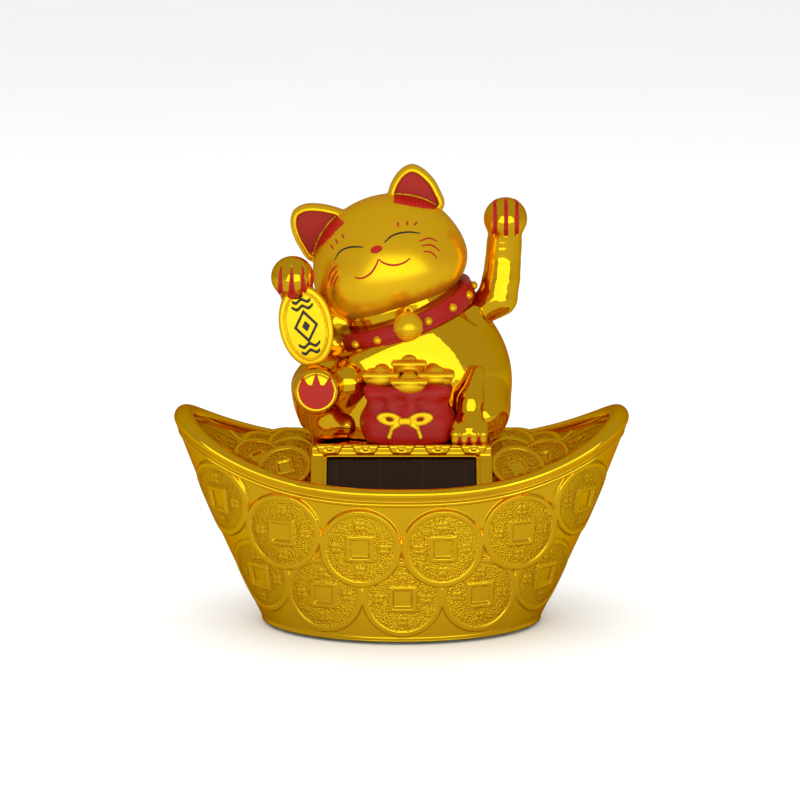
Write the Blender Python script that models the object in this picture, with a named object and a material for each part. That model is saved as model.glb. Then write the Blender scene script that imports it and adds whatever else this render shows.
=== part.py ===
"""A beckoning cat on a boat-shaped ingot base, driven by a solar cell: the waving arm and its pendulum
share one shaft inside the cat, and a coil under the pedestal pulls the pendulum's magnet."""

from math import asin, cos, pi, radians, sin, sqrt

import bmesh
import bpy
from mathutils import Matrix, Vector

MM = 1.0  # everything is modelled in millimetres, and the last step takes it to metres
GAP = 0.15 * MM  # the clearance between two pieces that touch

# The ingot. X is its length, Y its depth (+Y is the back) and Z is up; the feet stand on Z = 0.
RIM_HALF_LENGTH = 61.0 * MM
RIM_HALF_DEPTH = 32.0 * MM
RIM_LOW_Z = 42.6 * MM
RIM_RISE = 15.6 * MM
RIM_CURVE = 2.75
BEAD_RADIUS = 2.1 * MM
BASE_HALF_LENGTH = 38.8 * MM
BASE_HALF_DEPTH = 26.0 * MM
HULL_BOTTOM_Z = 0.8 * MM
WALL = 1.8 * MM
LEDGE_Z = 3.1 * MM
LEDGE_WIDTH = 1.6 * MM
DECK_Z = 41.0 * MM
AROUND = 48

# The pedestal that carries the cat and, on its sloping front, the solar cell.
PEDESTAL_HALF_WIDTH = 24.4 * MM
PEDESTAL_TOP_Z = 53.2 * MM
PEDESTAL_FRONT_Y = -18.0 * MM
PEDESTAL_BACK_Y = 22.5 * MM
PEDESTAL_FOOT_Y = -26.0 * MM
SLOPE_TOP_Z = 50.3 * MM
SLOPE_FOOT_Z = 40.4 * MM
CELL_SIZE = (39.6 * MM, 11.6 * MM, 1.1 * MM)

# The cat's body: an egg that leans into a tilted neck.
BODY_HALF_WIDTH = 30.6 * MM
BODY_HALF_DEPTH = 18.5 * MM
BODY_WIDEST_Z = 65.0 * MM
BODY_LOW_HEIGHT = 23.0 * MM
BODY_Y = 6.0 * MM
BODY_WALL = 1.6 * MM
NECK_ANGLE = radians(56)
NECK_HALF_DEPTH = 14.2 * MM
NECK_Y = 3.5 * MM
SEAM_Y = 5.0 * MM

# The collar's frame: its origin, and its lean to the cat's right and to the front.
COLLAR_AT = Vector((1.0, 3.0, 86.0)) * MM
COLLAR_ROLL = radians(-21.9)
COLLAR_PITCH = radians(7)
COLLAR_OUTER = (20.2 * MM, 17.0 * MM)
COLLAR_INNER = (11.6 * MM, 9.6 * MM)
COLLAR_FOOT = (16.9 * MM, 13.7 * MM)
COLLAR_HALF_HEIGHT = 2.8 * MM

# The head's frame and size.
HEAD_AT = Vector((-3.6, 2.5, 101.0)) * MM
HEAD_ROLL = radians(-18)
HEAD_SIZE = (21.0 * MM, 17.0 * MM, 16.2 * MM)

# The drive: shaft, pendulum and coil in the plane X = PENDULUM_X.
SHAFT_Y, SHAFT_Z = 4.0 * MM, 86.5 * MM
SHAFT_RADIUS = 1.0 * MM
PENDULUM_X = 8.0 * MM
BOARD_Z = 43.6 * MM
BOARD_THICKNESS = 1.2 * MM
ARM_HOLE_RADIUS = 4.8 * MM

GOLD = ("gold_plating", (0.78, 0.55, 0.06), 0.12, 1.0)
SATIN_GOLD = ("satin_gold", (0.75, 0.53, 0.07), 0.3, 1.0)
RED = ("red_lacquer", (0.62, 0.03, 0.02), 0.2, 0.0)
BLACK_PLASTIC = ("black_plastic", (0.03, 0.03, 0.03), 0.5, 0.0)
GREY_PLASTIC = ("grey_plastic", (0.45, 0.45, 0.43), 0.5, 0.0)
STEEL = ("steel", (0.6, 0.6, 0.6), 0.3, 1.0)
COPPER = ("copper_wire", (0.72, 0.33, 0.16), 0.35, 1.0)
BOARD_GREEN = ("board_green", (0.04, 0.22, 0.08), 0.4, 0.0)
CELL_GLASS = ("cell_glass", (0.05, 0.02, 0.015), 0.08, 0.0)
RUBBER = ("foot_rubber", (0.05, 0.05, 0.05), 0.9, 0.0)
RED_WIRE = ("red_wire", (0.6, 0.03, 0.03), 0.4, 0.0)
BLACK_WIRE = ("black_wire", (0.02, 0.02, 0.02), 0.4, 0.0)


def clear_scene():
    for obj in list(bpy.data.objects):
        bpy.data.objects.remove(obj)


def material(spec):
    name, colour, roughness, metallic = spec
    found = bpy.data.materials.get(name)
    if found:
        return found
    made = bpy.data.materials.new(name)
    made.use_nodes = True
    shader = made.node_tree.nodes["Principled BSDF"]
    shader.inputs["Base Color"].default_value = (*colour, 1)
    shader.inputs["Roughness"].default_value = roughness
    shader.inputs["Metallic"].default_value = metallic
    return made


def add(name, bm, spec=GOLD, helper=False):
    """Makes an object of bm, smooth-shaded with sharp edges kept."""
    bmesh.ops.recalc_face_normals(bm, faces=bm.faces)
    bmesh.ops.triangulate(bm, faces=bm.faces)
    mesh = bpy.data.meshes.new(name)
    bm.to_mesh(mesh)
    bm.free()
    mesh.shade_smooth()
    mesh.set_sharp_from_angle(angle=radians(40))
    obj = bpy.data.objects.new(name, mesh)
    bpy.context.collection.objects.link(obj)
    if helper:
        obj.hide_render = True
        obj.display_type = "WIRE"
    else:
        mesh.materials.append(material(spec))
    return obj


def loft(rings, wrap=False):
    """A closed skin through rings of equal point counts: capped at both ends, or joined round if wrap."""
    bm = bmesh.new()
    rows = [[bm.verts.new(p) for p in ring] for ring in rings]
    pairs = list(zip(rows, rows[1:]))
    if wrap:
        pairs.append((rows[-1], rows[0]))
    for low, high in pairs:
        for i in range(len(low)):
            j = (i + 1) % len(low)
            bm.faces.new((low[i], low[j], high[j], high[i]))
    if not wrap:
        for ring in (rows[0], rows[-1]):
            cap = bm.faces.new(ring)
            bmesh.ops.triangulate(bm, faces=[cap])
    return bm


def circle(radius, count, y_radius=None):
    second = radius if y_radius is None else y_radius
    turns = [2 * pi * (i + 0.3) / count for i in range(count)]
    return [Vector((radius * cos(t), second * sin(t), 0)) for t in turns]


def turned(profile, count=24, at=(0, 0, 0), axis=(0, 0, 1)):
    """A solid of revolution: profile holds (radius, height) pairs from one flat end to the other."""
    turn = Vector((0, 0, 1)).rotation_difference(Vector(axis)).to_matrix()
    rings = [
        [turn @ (p + Vector((0, 0, height))) + Vector(at) for p in circle(radius, count)]
        for radius, height in profile
    ]
    return loft(rings)


def block(low, high, bevel=0.0, segments=2):
    bm = bmesh.new()
    size = Vector(high) - Vector(low)
    bmesh.ops.create_cube(bm, size=1.0)
    bmesh.ops.scale(bm, vec=size, verts=bm.verts)
    bmesh.ops.translate(bm, vec=(Vector(low) + Vector(high)) / 2, verts=bm.verts)
    if bevel:
        bmesh.ops.bevel(bm, geom=bm.edges, offset=bevel, segments=segments, profile=0.5, affect="EDGES")
    return bm


def ball(at, radii, turn=Matrix.Identity(3), around=20, rows=12):
    """An ellipsoid, with its own axes turned by turn."""
    bm = bmesh.new()
    bmesh.ops.create_uvsphere(bm, u_segments=around, v_segments=rows, radius=1.0)
    for vert in bm.verts:
        vert.co = turn @ Vector([c * r for c, r in zip(vert.co, radii)]) + Vector(at)
    return bm


def swept(path, count=14, side=(0, 1, 0), domed=True):
    """A round limb through path, a list of (point, radius), flat at its root and domed at its far end."""
    side = Vector(side)
    rings = []
    for i, (point, radius) in enumerate(path):
        along = (path[min(i + 1, len(path) - 1)][0] - path[max(i - 1, 0)][0]).normalized()
        other = side.cross(along).normalized()
        flat = along.cross(other).normalized()
        rings.append([point + other * p.x + flat * p.y for p in circle(radius, count)])
    if domed:
        for step in (30, 60, 80):
            grown, out = radius * cos(radians(step)), along * radius * sin(radians(step))
            rings.append([point + out + other * p.x + flat * p.y for p in circle(grown, count)])
    return loft(rings)


def boolean(obj, other, operation):
    """Cuts or joins other into obj, and removes other."""
    modifier = obj.modifiers.new(operation.lower(), "BOOLEAN")
    modifier.operation = operation
    modifier.object = other
    modifier.solver = "EXACT"
    graph = bpy.context.evaluated_depsgraph_get()
    made = bpy.data.meshes.new_from_object(obj.evaluated_get(graph))
    obj.modifiers.remove(modifier)
    old = obj.data
    obj.data = made
    bpy.data.meshes.remove(old)
    bpy.data.objects.remove(other)
    tidy_mesh(made)
    return obj


def tidy_mesh(mesh):
    """Merges the slivers and the flat triangles that a Boolean leaves."""
    bm = bmesh.new()
    bm.from_mesh(mesh)
    bmesh.ops.remove_doubles(bm, verts=bm.verts, dist=0.002)
    bmesh.ops.dissolve_degenerate(bm, dist=0.002, edges=bm.edges)
    bmesh.ops.dissolve_limit(bm, angle_limit=0.0005, verts=bm.verts, edges=bm.edges)
    bmesh.ops.triangulate(bm, faces=bm.faces)
    bm.to_mesh(mesh)
    bm.free()


def cut(obj, bm):
    return boolean(obj, add("cutter", bm, helper=True), "DIFFERENCE")


def join(obj, bm):
    return boolean(obj, add("joined", bm, helper=True), "UNION")


def keep(obj, bm):
    return boolean(obj, add("kept", bm, helper=True), "INTERSECT")


# ---- the ingot ----


def rim_z(x):
    """The rim's height: low amidships and rising to the two tips."""
    return RIM_LOW_Z + RIM_RISE * min(abs(x) / RIM_HALF_LENGTH, 1.0) ** RIM_CURVE


def hull_point(turn, share, inset=0.0):
    """A point of the hull's flaring side: share 0 at the foot and 1 at the rim."""
    low = Vector(((BASE_HALF_LENGTH - inset) * cos(turn), (BASE_HALF_DEPTH - inset) * sin(turn), HULL_BOTTOM_Z))
    x = (RIM_HALF_LENGTH - inset) * cos(turn)
    high = Vector((x, (RIM_HALF_DEPTH - inset) * sin(turn), rim_z(RIM_HALF_LENGTH * cos(turn))))
    return low.lerp(high, share)


def hull_turns():
    return [2 * pi * i / AROUND for i in range(AROUND)]


def hull_ring(share, inset=0.0, z=None, drop=0.0):
    ring = [hull_point(turn, share, inset) for turn in hull_turns()]
    for point in ring:
        point.z = point.z - drop if z is None else z
    return ring


def base_ring(inset, z):
    return [
        Vector(((BASE_HALF_LENGTH - inset) * cos(t), (BASE_HALF_DEPTH - inset) * sin(t), z)) for t in hull_turns()
    ]


def make_hull():
    """The outer shell: open above and below, with a ledge inside for the base plate."""
    drop = BEAD_RADIUS + 0.2 * MM
    edge = 1.2 * MM
    rings = [base_ring(edge, HULL_BOTTOM_Z)]
    rings += [hull_ring(share) for share in (0.03, 0.25, 0.5, 0.75)]
    rings += [hull_ring(1.0, drop=drop), hull_ring(1.0, inset=WALL, drop=drop)]
    rings += [hull_ring(share, inset=WALL) for share in (0.75, 0.5, 0.25)]
    rings += [base_ring(WALL - 0.5 * MM, LEDGE_Z + 1.4 * MM), base_ring(WALL + LEDGE_WIDTH, LEDGE_Z + 1.2 * MM)]
    rings += [base_ring(WALL + LEDGE_WIDTH, LEDGE_Z), base_ring(WALL - 0.6 * MM, LEDGE_Z)]
    rings += [base_ring(WALL, HULL_BOTTOM_Z)]
    return add("ingot_hull", loft(rings, wrap=True))


def bowl_z(x, share):
    """The deck's upper face inside the bead: share 1 at the bead and 0 amidships."""
    return DECK_Z + (rim_z(x) - 0.8 * MM - DECK_Z) * share**3


def deck_ring(share, drop=0.0):
    a, b = RIM_HALF_LENGTH - BEAD_RADIUS, RIM_HALF_DEPTH - BEAD_RADIUS
    return [
        Vector((a * share * cos(t), b * share * sin(t), bowl_z(RIM_HALF_LENGTH * cos(t), share) - drop))
        for t in hull_turns()
    ]


def bead_ring(angle):
    """One line of the rim's bead: angle 0 points outwards and 90 degrees points up."""
    ring = []
    for turn in hull_turns():
        centre = hull_point(turn, 1.0, inset=0.5 * MM)
        outwards = Vector((cos(turn) / RIM_HALF_LENGTH, sin(turn) / RIM_HALF_DEPTH, 0)).normalized()
        ring.append(centre + (outwards * cos(angle) + Vector((0, 0, sin(angle)))) * BEAD_RADIUS)
    return ring


def pedestal_block(low_z, inset=0.0, front_inset=0.0):
    """The pedestal as a prism with a sloping front, taken in by inset, and by front_inset at the front."""
    half = PEDESTAL_HALF_WIDTH - inset
    outline = [
        (PEDESTAL_BACK_Y - inset, low_z),
        (PEDESTAL_BACK_Y - inset, PEDESTAL_TOP_Z - inset),
        (PEDESTAL_FRONT_Y + front_inset, PEDESTAL_TOP_Z - inset),
        (PEDESTAL_FRONT_Y + front_inset, SLOPE_TOP_Z),
        (PEDESTAL_FOOT_Y + front_inset, SLOPE_FOOT_Z),
        (PEDESTAL_FOOT_Y + front_inset, low_z),
    ]
    return loft([[Vector((x, y, z)) for y, z in outline] for x in (-half, half)])


def slope_frame():
    """The middle of the sloping front face, and the matrix whose Z points out of it."""
    top = Vector((0, PEDESTAL_FRONT_Y, SLOPE_TOP_Z))
    foot = Vector((0, PEDESTAL_FOOT_Y, SLOPE_FOOT_Z))
    up = (top - foot).normalized()
    across = Vector((1, 0, 0))
    out = across.cross(up)
    return (top + foot) / 2, up, Matrix((across, up, out)).transposed()


def slope_box(size, sink, lift=0.0):
    """A box in the sloping face: size is width, length and depth, and sink is how far its face lies below."""
    middle, up, turn = slope_frame()
    width, length, depth = size
    bm = block((-width / 2, -length / 2, -sink - depth), (width / 2, length / 2, -sink))
    bmesh.ops.transform(bm, matrix=Matrix.Translation(middle + up * lift) @ turn.to_4x4(), verts=bm.verts)
    return bm


PILOT = 1.25 * MM
BASE_SCREWS = [(x, y) for x in (-26 * MM, 26 * MM) for y in (-9 * MM, 9 * MM)]
CAT_SCREWS = [(-14 * MM, 15 * MM), (14 * MM, 15 * MM)]
FRAME_SCREWS = [(PENDULUM_X - 7.1 * MM, SHAFT_Y), (PENDULUM_X + 7.1 * MM, SHAFT_Y)]
BOARD_SCREWS = [(-16 * MM, 2 * MM), (2 * MM, 12 * MM)]


def make_deck():
    """The top moulding: rim bead, bowl and pedestal in one, with screw posts below."""
    rings = [bead_ring(radians(a)) for a in range(-120, 151, 30)]
    rings += [deck_ring(share) for share in (1.0, 0.85, 0.7, 0.55, 0.4)]
    deck = add("ingot_deck", loft(rings + [deck_ring(s, WALL) for s in (0.4, 0.7, 0.97)], wrap=True))
    join(deck, pedestal_block(DECK_Z - 1.5 * MM))
    cut(deck, pedestal_block(DECK_Z - 9 * MM, WALL, 3.4 * MM))
    for x, y in BASE_SCREWS:
        join(deck, turned([(2.6 * MM, LEDGE_Z + GAP), (2.6 * MM, DECK_Z + 0.6 * MM)], 12, (x, y, 0)))
        cut(deck, turned([(PILOT, 0), (PILOT, 14 * MM)], 12, (x, y, 0)))
    for x, y in BOARD_SCREWS:
        low = BOARD_Z + BOARD_THICKNESS + GAP
        join(deck, turned([(2.2 * MM, low), (2.2 * MM, PEDESTAL_TOP_Z - 1.0 * MM)], 12, (x, y, 0)))
        cut(deck, turned([(PILOT, low - 1 * MM), (PILOT, low + 5 * MM)], 12, (x, y, 0)))
    for x, y in CAT_SCREWS + FRAME_SCREWS:
        cut(deck, turned([(PILOT, PEDESTAL_TOP_Z - 4 * MM), (PILOT, PEDESTAL_TOP_Z + MM)], 12, (x, y, 0)))
    width, length, depth = CELL_SIZE
    cut(deck, slope_box((width + 0.6 * MM, length + 0.6 * MM, depth + 4 * MM), -3.2 * MM))
    for side in (-1, 1):
        hole = slope_box((2.4 * MM, 2.4 * MM, 6 * MM), 0.0)
        bmesh.ops.translate(hole, vec=(side * 8 * MM, 0, 0), verts=hole.verts)
        cut(deck, hole)
    return deck


def bowl_cutter():
    """Everything below the bowl's surface, and the pedestal."""
    rings = [[Vector((p.x, p.y, 20 * MM)) for p in deck_ring(1.0)]]
    rings += [deck_ring(share, -GAP) for share in (1.0, 0.85, 0.7, 0.55, 0.4)]
    return loft(rings)


# Each coin of a heap: its middle in X, Y and Z, its lean and its turn in degrees.
HEAP_COINS = (
    (31.5, -13.0, 45.4, 34, 100),
    (38.6, -6.0, 46.2, 30, 62),
    (30.5, -1.5, 46.4, 24, 110),
    (42.6, -0.5, 45.8, 34, 5),
    (37.5, 6.5, 46.2, 26, 40),
    (31.0, 10.0, 46.8, 20, 95),
)


def make_coin_heaps():
    """The coins lying in the bowl on both sides of the pedestal, each heap one moulding."""
    for name, side in (("coin_heap_left", -1), ("coin_heap_right", 1)):
        heap = None
        for x, y, z, lean, turn in HEAP_COINS:
            disc = turned([(6.4 * MM, -1.1 * MM), (7.0 * MM, -0.5 * MM), (7.0 * MM, 1.3 * MM), (6.2 * MM, 1.9 * MM)], 18)
            facing = Matrix.Rotation(radians(turn * side), 4, "Z") @ Matrix.Rotation(radians(-lean * side), 4, "Y")
            bmesh.ops.transform(disc, matrix=Matrix.Translation((x * side, y, z)) @ facing, verts=disc.verts)
            heap = join(heap, disc) if heap else add(name, disc)
        join(heap, ball((36 * MM * side, 0, 42 * MM), (9 * MM, 17 * MM, 6 * MM), around=16, rows=8))
        cut(heap, bowl_cutter())
        cut(heap, pedestal_block(30 * MM, -GAP, -GAP))


def make_lotus_trim():
    """The row of petals along the pedestal's front, under the cat."""
    front = PEDESTAL_FRONT_Y - GAP
    low = (-21.8 * MM, front - 0.7 * MM, 51.6 * MM)
    trim = add("lotus_trim", block(low, (21.8 * MM, front, PEDESTAL_TOP_Z - 0.1 * MM)))
    for place in range(-2, 3):
        join(trim, ball((place * 8.8 * MM, front, 52.0 * MM), (4.2 * MM, 1.6 * MM, 1.75 * MM), around=12, rows=6))
    cut(trim, block((-30 * MM, front, 40 * MM), (30 * MM, 0, 60 * MM)))


def make_solar_cell():
    return add("solar_cell", slope_box(CELL_SIZE, 0.55 * MM), CELL_GLASS)


def make_base_plate():
    inset = WALL + 0.05 * MM
    plate = add("base_plate", loft([base_ring(inset, 1.3 * MM), base_ring(inset, LEDGE_Z - GAP)]), BLACK_PLASTIC)
    for x, y in BASE_SCREWS:
        cut(plate, turned([(PILOT, 0), (PILOT, 5 * MM)], 12, (x, y, 0)))
        cut(plate, turned([(2.5 * MM, 0), (2.5 * MM, 2.1 * MM)], 16, (x, y, 0)))
    return plate


def make_feet():
    places = [(x, y) for x in (-17 * MM, 17 * MM) for y in (-14 * MM, 14 * MM)]
    profile = [(3.6 * MM, 0), (4.0 * MM, 0.4 * MM), (4.0 * MM, 1.3 * MM - GAP)]
    for number, (x, y) in enumerate(places, 1):
        add(f"rubber_foot_{number}", turned(profile, 20, (x, y, 0)), RUBBER)


def screw(name, x, y, z, length, up, head=1.9 * MM):
    """A pan-head screw whose head's underside is at z, with its shank pointing up or down."""
    way = 1 if up else -1
    profile = [(head * 0.7, -1.2 * MM), (head, -0.7 * MM), (head, 0), (0.95 * MM, 0), (0.95 * MM, length)]
    tip = [(0.5 * MM, length + 0.7 * MM)]
    return add(name, turned(profile + tip, 10, (x, y, z), (0, 0, way)), STEEL)


def make_screws():
    for number, (x, y) in enumerate(BASE_SCREWS, 1):
        screw(f"base_screw_{number}", x, y, 2.1 * MM - GAP, 9 * MM, True)
    for number, (x, y) in enumerate(CAT_SCREWS, 1):
        screw(f"cat_screw_{number}", x, y, PEDESTAL_TOP_Z - WALL - GAP, 6.5 * MM, True)
    for number, (x, y) in enumerate(FRAME_SCREWS, 1):
        screw(f"frame_screw_{number}", x, y, PEDESTAL_TOP_Z + 1.8 * MM + GAP, 4 * MM, False, 1.6 * MM)
    for number, (x, y) in enumerate(BOARD_SCREWS, 1):
        screw(f"board_screw_{number}", x, y, BOARD_Z - GAP, 4.5 * MM, True)


# ---- the drive ----


def make_board():
    low, high = (-20 * MM, -6 * MM, BOARD_Z), (20 * MM, 15 * MM, BOARD_Z + BOARD_THICKNESS)
    board = add("circuit_board", block(low, high), BOARD_GREEN)
    for x, y in BOARD_SCREWS:
        cut(board, turned([(PILOT, BOARD_Z - MM), (PILOT, BOARD_Z + 3 * MM)], 12, (x, y, 0)))
    top = BOARD_Z + BOARD_THICKNESS + GAP
    coil_height = 5.4 * MM
    spool = [(5.6, 0), (5.6, 0.6), (2.2, 0.6), (2.2, 4.8), (5.6, 4.8), (5.6, 5.4)]
    add("coil_bobbin", turned([(r * MM, z * MM) for r, z in spool], 20, (PENDULUM_X, SHAFT_Y, top)), BLACK_PLASTIC)
    low, high, inner, outer = 0.75 * MM, coil_height - 0.75 * MM, 2.4 * MM, 5.2 * MM
    rings = [
        [p + Vector((PENDULUM_X, SHAFT_Y, top + z)) for p in circle(r, 20)]
        for r, z in ((inner, low), (outer, low), (outer, high), (inner, high))
    ]
    add("drive_coil", loft(rings, wrap=True), COPPER)
    can = [(2.3, 0), (2.5, 0.3), (2.5, 5.0), (2.3, 5.3)]
    add("capacitor", turned([(r * MM, z * MM) for r, z in can], 20, (-9 * MM, 9 * MM, top)), BLACK_WIRE)
    chip = block((-8 * MM, -2 * MM, top), (-3 * MM, 2 * MM, top + 1.5 * MM), 0.3 * MM, 1)
    add("driver_chip", chip, BLACK_PLASTIC)


def wire(name, points, spec):
    """A lead through points, on a smooth curve."""
    smooth = smooth_path([Vector(p) * MM for p in points], 3)
    return add(name, swept([(p, 0.45 * MM) for p in smooth], 6, (1, 0, 0), domed=False), spec)


def smooth_path(points, steps):
    """Points on the Catmull-Rom curve through points."""
    ends = [points[0] * 2 - points[1], *points, points[-1] * 2 - points[-2]]
    found = []
    for a, b, c, d in zip(ends, ends[1:], ends[2:], ends[3:]):
        for i in range(steps):
            t = i / steps
            found.append(
                0.5 * (2 * b + (c - a) * t + (2 * a - 5 * b + 4 * c - d) * t * t + (3 * b - a - 3 * c + d) * t**3)
            )
    return [*found, points[-1]]


def make_leads():
    """The two leads from the back of the cell to the board's edge."""
    middle, up, turn = slope_frame()
    out = turn @ Vector((0, 0, 1))
    start = (middle - out * 2.1 * MM) / MM
    for name, side, spec in (("solar_lead_red", 1, RED_WIRE), ("solar_lead_black", -1, BLACK_WIRE)):
        first = (side * 8, start.y, start.z)
        second = (side * 8, start.y + 2.4, start.z - 1.5)
        low = BOARD_Z / MM - 1.6
        wire(name, [first, second, (side * 8, -12.5, low - 0.6), (side * 7.5, -8, low), (side * 7, -4, BOARD_Z / MM - 0.8)], spec)


def make_swing_frame():
    """The plastic frame that stands on the pedestal and carries the shaft in two cheeks."""
    foot_z = PEDESTAL_TOP_Z + GAP
    flange_top = PEDESTAL_TOP_Z + 1.8 * MM
    low = (PENDULUM_X - 8.9 * MM, SHAFT_Y - 3 * MM, foot_z)
    high = (PENDULUM_X + 8.9 * MM, SHAFT_Y + 3 * MM, flange_top)
    frame = add("swing_frame", block(low, high), GREY_PLASTIC)
    for x in (PENDULUM_X - 4.0 * MM, PENDULUM_X + 4.0 * MM):
        low = (x - 0.6 * MM, SHAFT_Y - 2.9 * MM, foot_z + 0.5 * MM)
        join(frame, block(low, (x + 0.6 * MM, SHAFT_Y + 2.9 * MM, SHAFT_Z)))
        join(frame, turned([(2.0 * MM, x - 0.6 * MM), (2.0 * MM, x + 0.6 * MM)], 24, (0, SHAFT_Y, SHAFT_Z), (1, 0, 0)))
    bore = SHAFT_RADIUS + 0.1 * MM
    cut(frame, turned([(bore, 0), (bore, 24 * MM)], 24, (0, SHAFT_Y, SHAFT_Z), (1, 0, 0)))
    for x, y in FRAME_SCREWS:
        cut(frame, turned([(PILOT, foot_z - MM), (PILOT, flange_top + MM)], 12, (x, y, 0)))
    return frame


def make_shaft_and_pendulum():
    at, along = (0, SHAFT_Y, SHAFT_Z), (1, 0, 0)
    shaft = [(1.9, 2.2), (1.9, 2.9), (1.0, 2.9), (1.0, 23.0)]
    add("arm_shaft", turned([(r * MM, x * MM) for r, x in shaft], 16, at, along), STEEL)
    hub = [(2.2 * MM, PENDULUM_X - 3.0 * MM), (2.2 * MM, PENDULUM_X + 3.0 * MM)]
    lever = add("pendulum", turned(hub, 24, at, along), BLACK_PLASTIC)
    foot_z = 59.4 * MM
    low = (PENDULUM_X - 1.0 * MM, SHAFT_Y - 1.6 * MM, foot_z)
    join(lever, block(low, (PENDULUM_X + 1.0 * MM, SHAFT_Y + 1.6 * MM, SHAFT_Z - 1.3 * MM)))
    join(lever, turned([(2.9 * MM, foot_z), (2.9 * MM, foot_z + 1.4 * MM)], 20, (PENDULUM_X, SHAFT_Y, 0)))
    bore = SHAFT_RADIUS + 0.06 * MM
    cut(lever, turned([(bore, 0), (bore, 18 * MM)], 24, at, along))
    disc = [(2.5, 55.6), (2.8, 55.8), (2.8, foot_z / MM - 0.15)]
    add("pendulum_magnet", turned([(r * MM, z * MM) for r, z in disc], 20, (PENDULUM_X, SHAFT_Y, 0)), STEEL)


# ---- the waving arm ----

ARM_PATH = [  # X, Z and radius along the limb, in millimetres
    (20.0, 86.5, 3.55),
    (22.0, 86.5, 3.65),
    (24.2, 87.9, 4.5),
    (26.0, 90.6, 4.9),
    (26.9, 95.0, 4.7),
    (27.4, 100.0, 4.25),
    (27.9, 104.6, 4.1),
    (28.2, 108.4, 5.0),
    (28.2, 111.4, 5.7),
]
ARM_WALL = 1.1


def arm_skin(inset):
    """The arm's closed outer skin, or its inner one if inset is over 0."""
    path = []
    for x, z, radius in ARM_PATH:
        path.append((Vector((x, SHAFT_Y / MM, z)) * MM, (radius - inset) * MM))
    return swept(path)


def make_arm():
    """The waving arm: a front and a back half, glued round the shaft's end."""
    big = 60 * MM
    bore = SHAFT_RADIUS + 0.06 * MM
    for name, low_y, high_y in (
        ("arm_front_shell", -big, SHAFT_Y - GAP),
        ("arm_back_shell", SHAFT_Y + GAP, big),
    ):
        half = add(name, arm_skin(0.0))
        cut(half, arm_skin(ARM_WALL))
        join(half, turned([(3.0 * MM, 20.0 * MM), (3.0 * MM, 22.6 * MM)], 20, (0, SHAFT_Y, SHAFT_Z), (1, 0, 0)))
        cut(half, turned([(bore, 19 * MM), (bore, 24 * MM)], 16, (0, SHAFT_Y, SHAFT_Z), (1, 0, 0)))
        keep(half, block((0, low_y, 0), (big, high_y, 3 * big)))


# ---- the cat's body, collar and head ----


def neck_height(turn):
    """How far the body rises above its widest line before it reaches the neck ring's pole."""
    return (24.6 + 9.2 * cos(turn) + 2.6 * sin(turn)) * MM


def body_point(turn, lift, inset=0.0):
    """A point of the body: lift is negative below the widest line and NECK_ANGLE at the neck."""
    if lift < 0:
        half_width, half_depth, centre = BODY_HALF_WIDTH * cos(lift), BODY_HALF_DEPTH * cos(lift), BODY_Y
        z = BODY_WIDEST_Z + BODY_LOW_HEIGHT * sin(lift)
    else:
        share = (1 - cos(lift)) / (1 - cos(NECK_ANGLE))
        half_width = BODY_HALF_WIDTH * cos(lift)
        half_depth = BODY_HALF_DEPTH + (NECK_HALF_DEPTH - BODY_HALF_DEPTH) * share
        centre = BODY_Y + (NECK_Y - BODY_Y) * share
        z = BODY_WIDEST_Z + (neck_height(turn) - inset) * sin(lift)
    x = (half_width - inset) * cos(turn)
    y = centre + (half_depth - inset) * sin(turn)
    return Vector((x, y, z))


def base_lift():
    """The lift angle at which the body meets the pedestal."""
    return -asin((BODY_WIDEST_Z - PEDESTAL_TOP_Z - GAP) / BODY_LOW_HEIGHT)


def body_rings(inset=0.0, count=36):
    """The rings of the body's skin, from the pedestal up to the neck."""
    lifts = [base_lift(), -0.3, -0.12, 0, 0.15, 0.32, 0.5, 0.68, 0.84, NECK_ANGLE]
    turns = [2 * pi * (i + 0.5) / count for i in range(count)]
    return [[body_point(t, lift, inset) for t in turns] for lift in lifts]


def body_skin(grow):
    """The body as a solid, grown outwards by grow and run down into the pedestal."""
    rings = body_rings(-grow)
    foot = [p + Vector((0, 0, -3 * MM)) for p in rings[0]]
    return loft([foot, *rings])


def collar_matrix():
    turn = Matrix.Rotation(COLLAR_ROLL, 4, "Y") @ Matrix.Rotation(COLLAR_PITCH, 4, "X")
    return Matrix.Translation(COLLAR_AT) @ turn


def collar_prism(x_radius, y_radius, low, high, count=44):
    """An elliptical prism in the collar's frame."""
    frame = collar_matrix()
    ring = circle(x_radius, count, y_radius)
    return loft([[frame @ (p + Vector((0, 0, z))) for p in ring] for z in (low, high)])


def arm_hole():
    """The round hole in the right shoulder that the arm's root turns in."""
    at = (0, SHAFT_Y, SHAFT_Z)
    return turned([(ARM_HOLE_RADIUS, 15 * MM), (ARM_HOLE_RADIUS, 40 * MM)], 26, at, (1, 0, 0))


def body_shell():
    """The body as one hollow skin: outer and inner wall, open at the foot and at the neck."""
    outer, inner = body_rings(), body_rings(BODY_WALL)
    for low, high in zip(inner[0], outer[0]):
        low.z = high.z
    return loft([*outer, *reversed(inner)], wrap=True)


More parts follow.
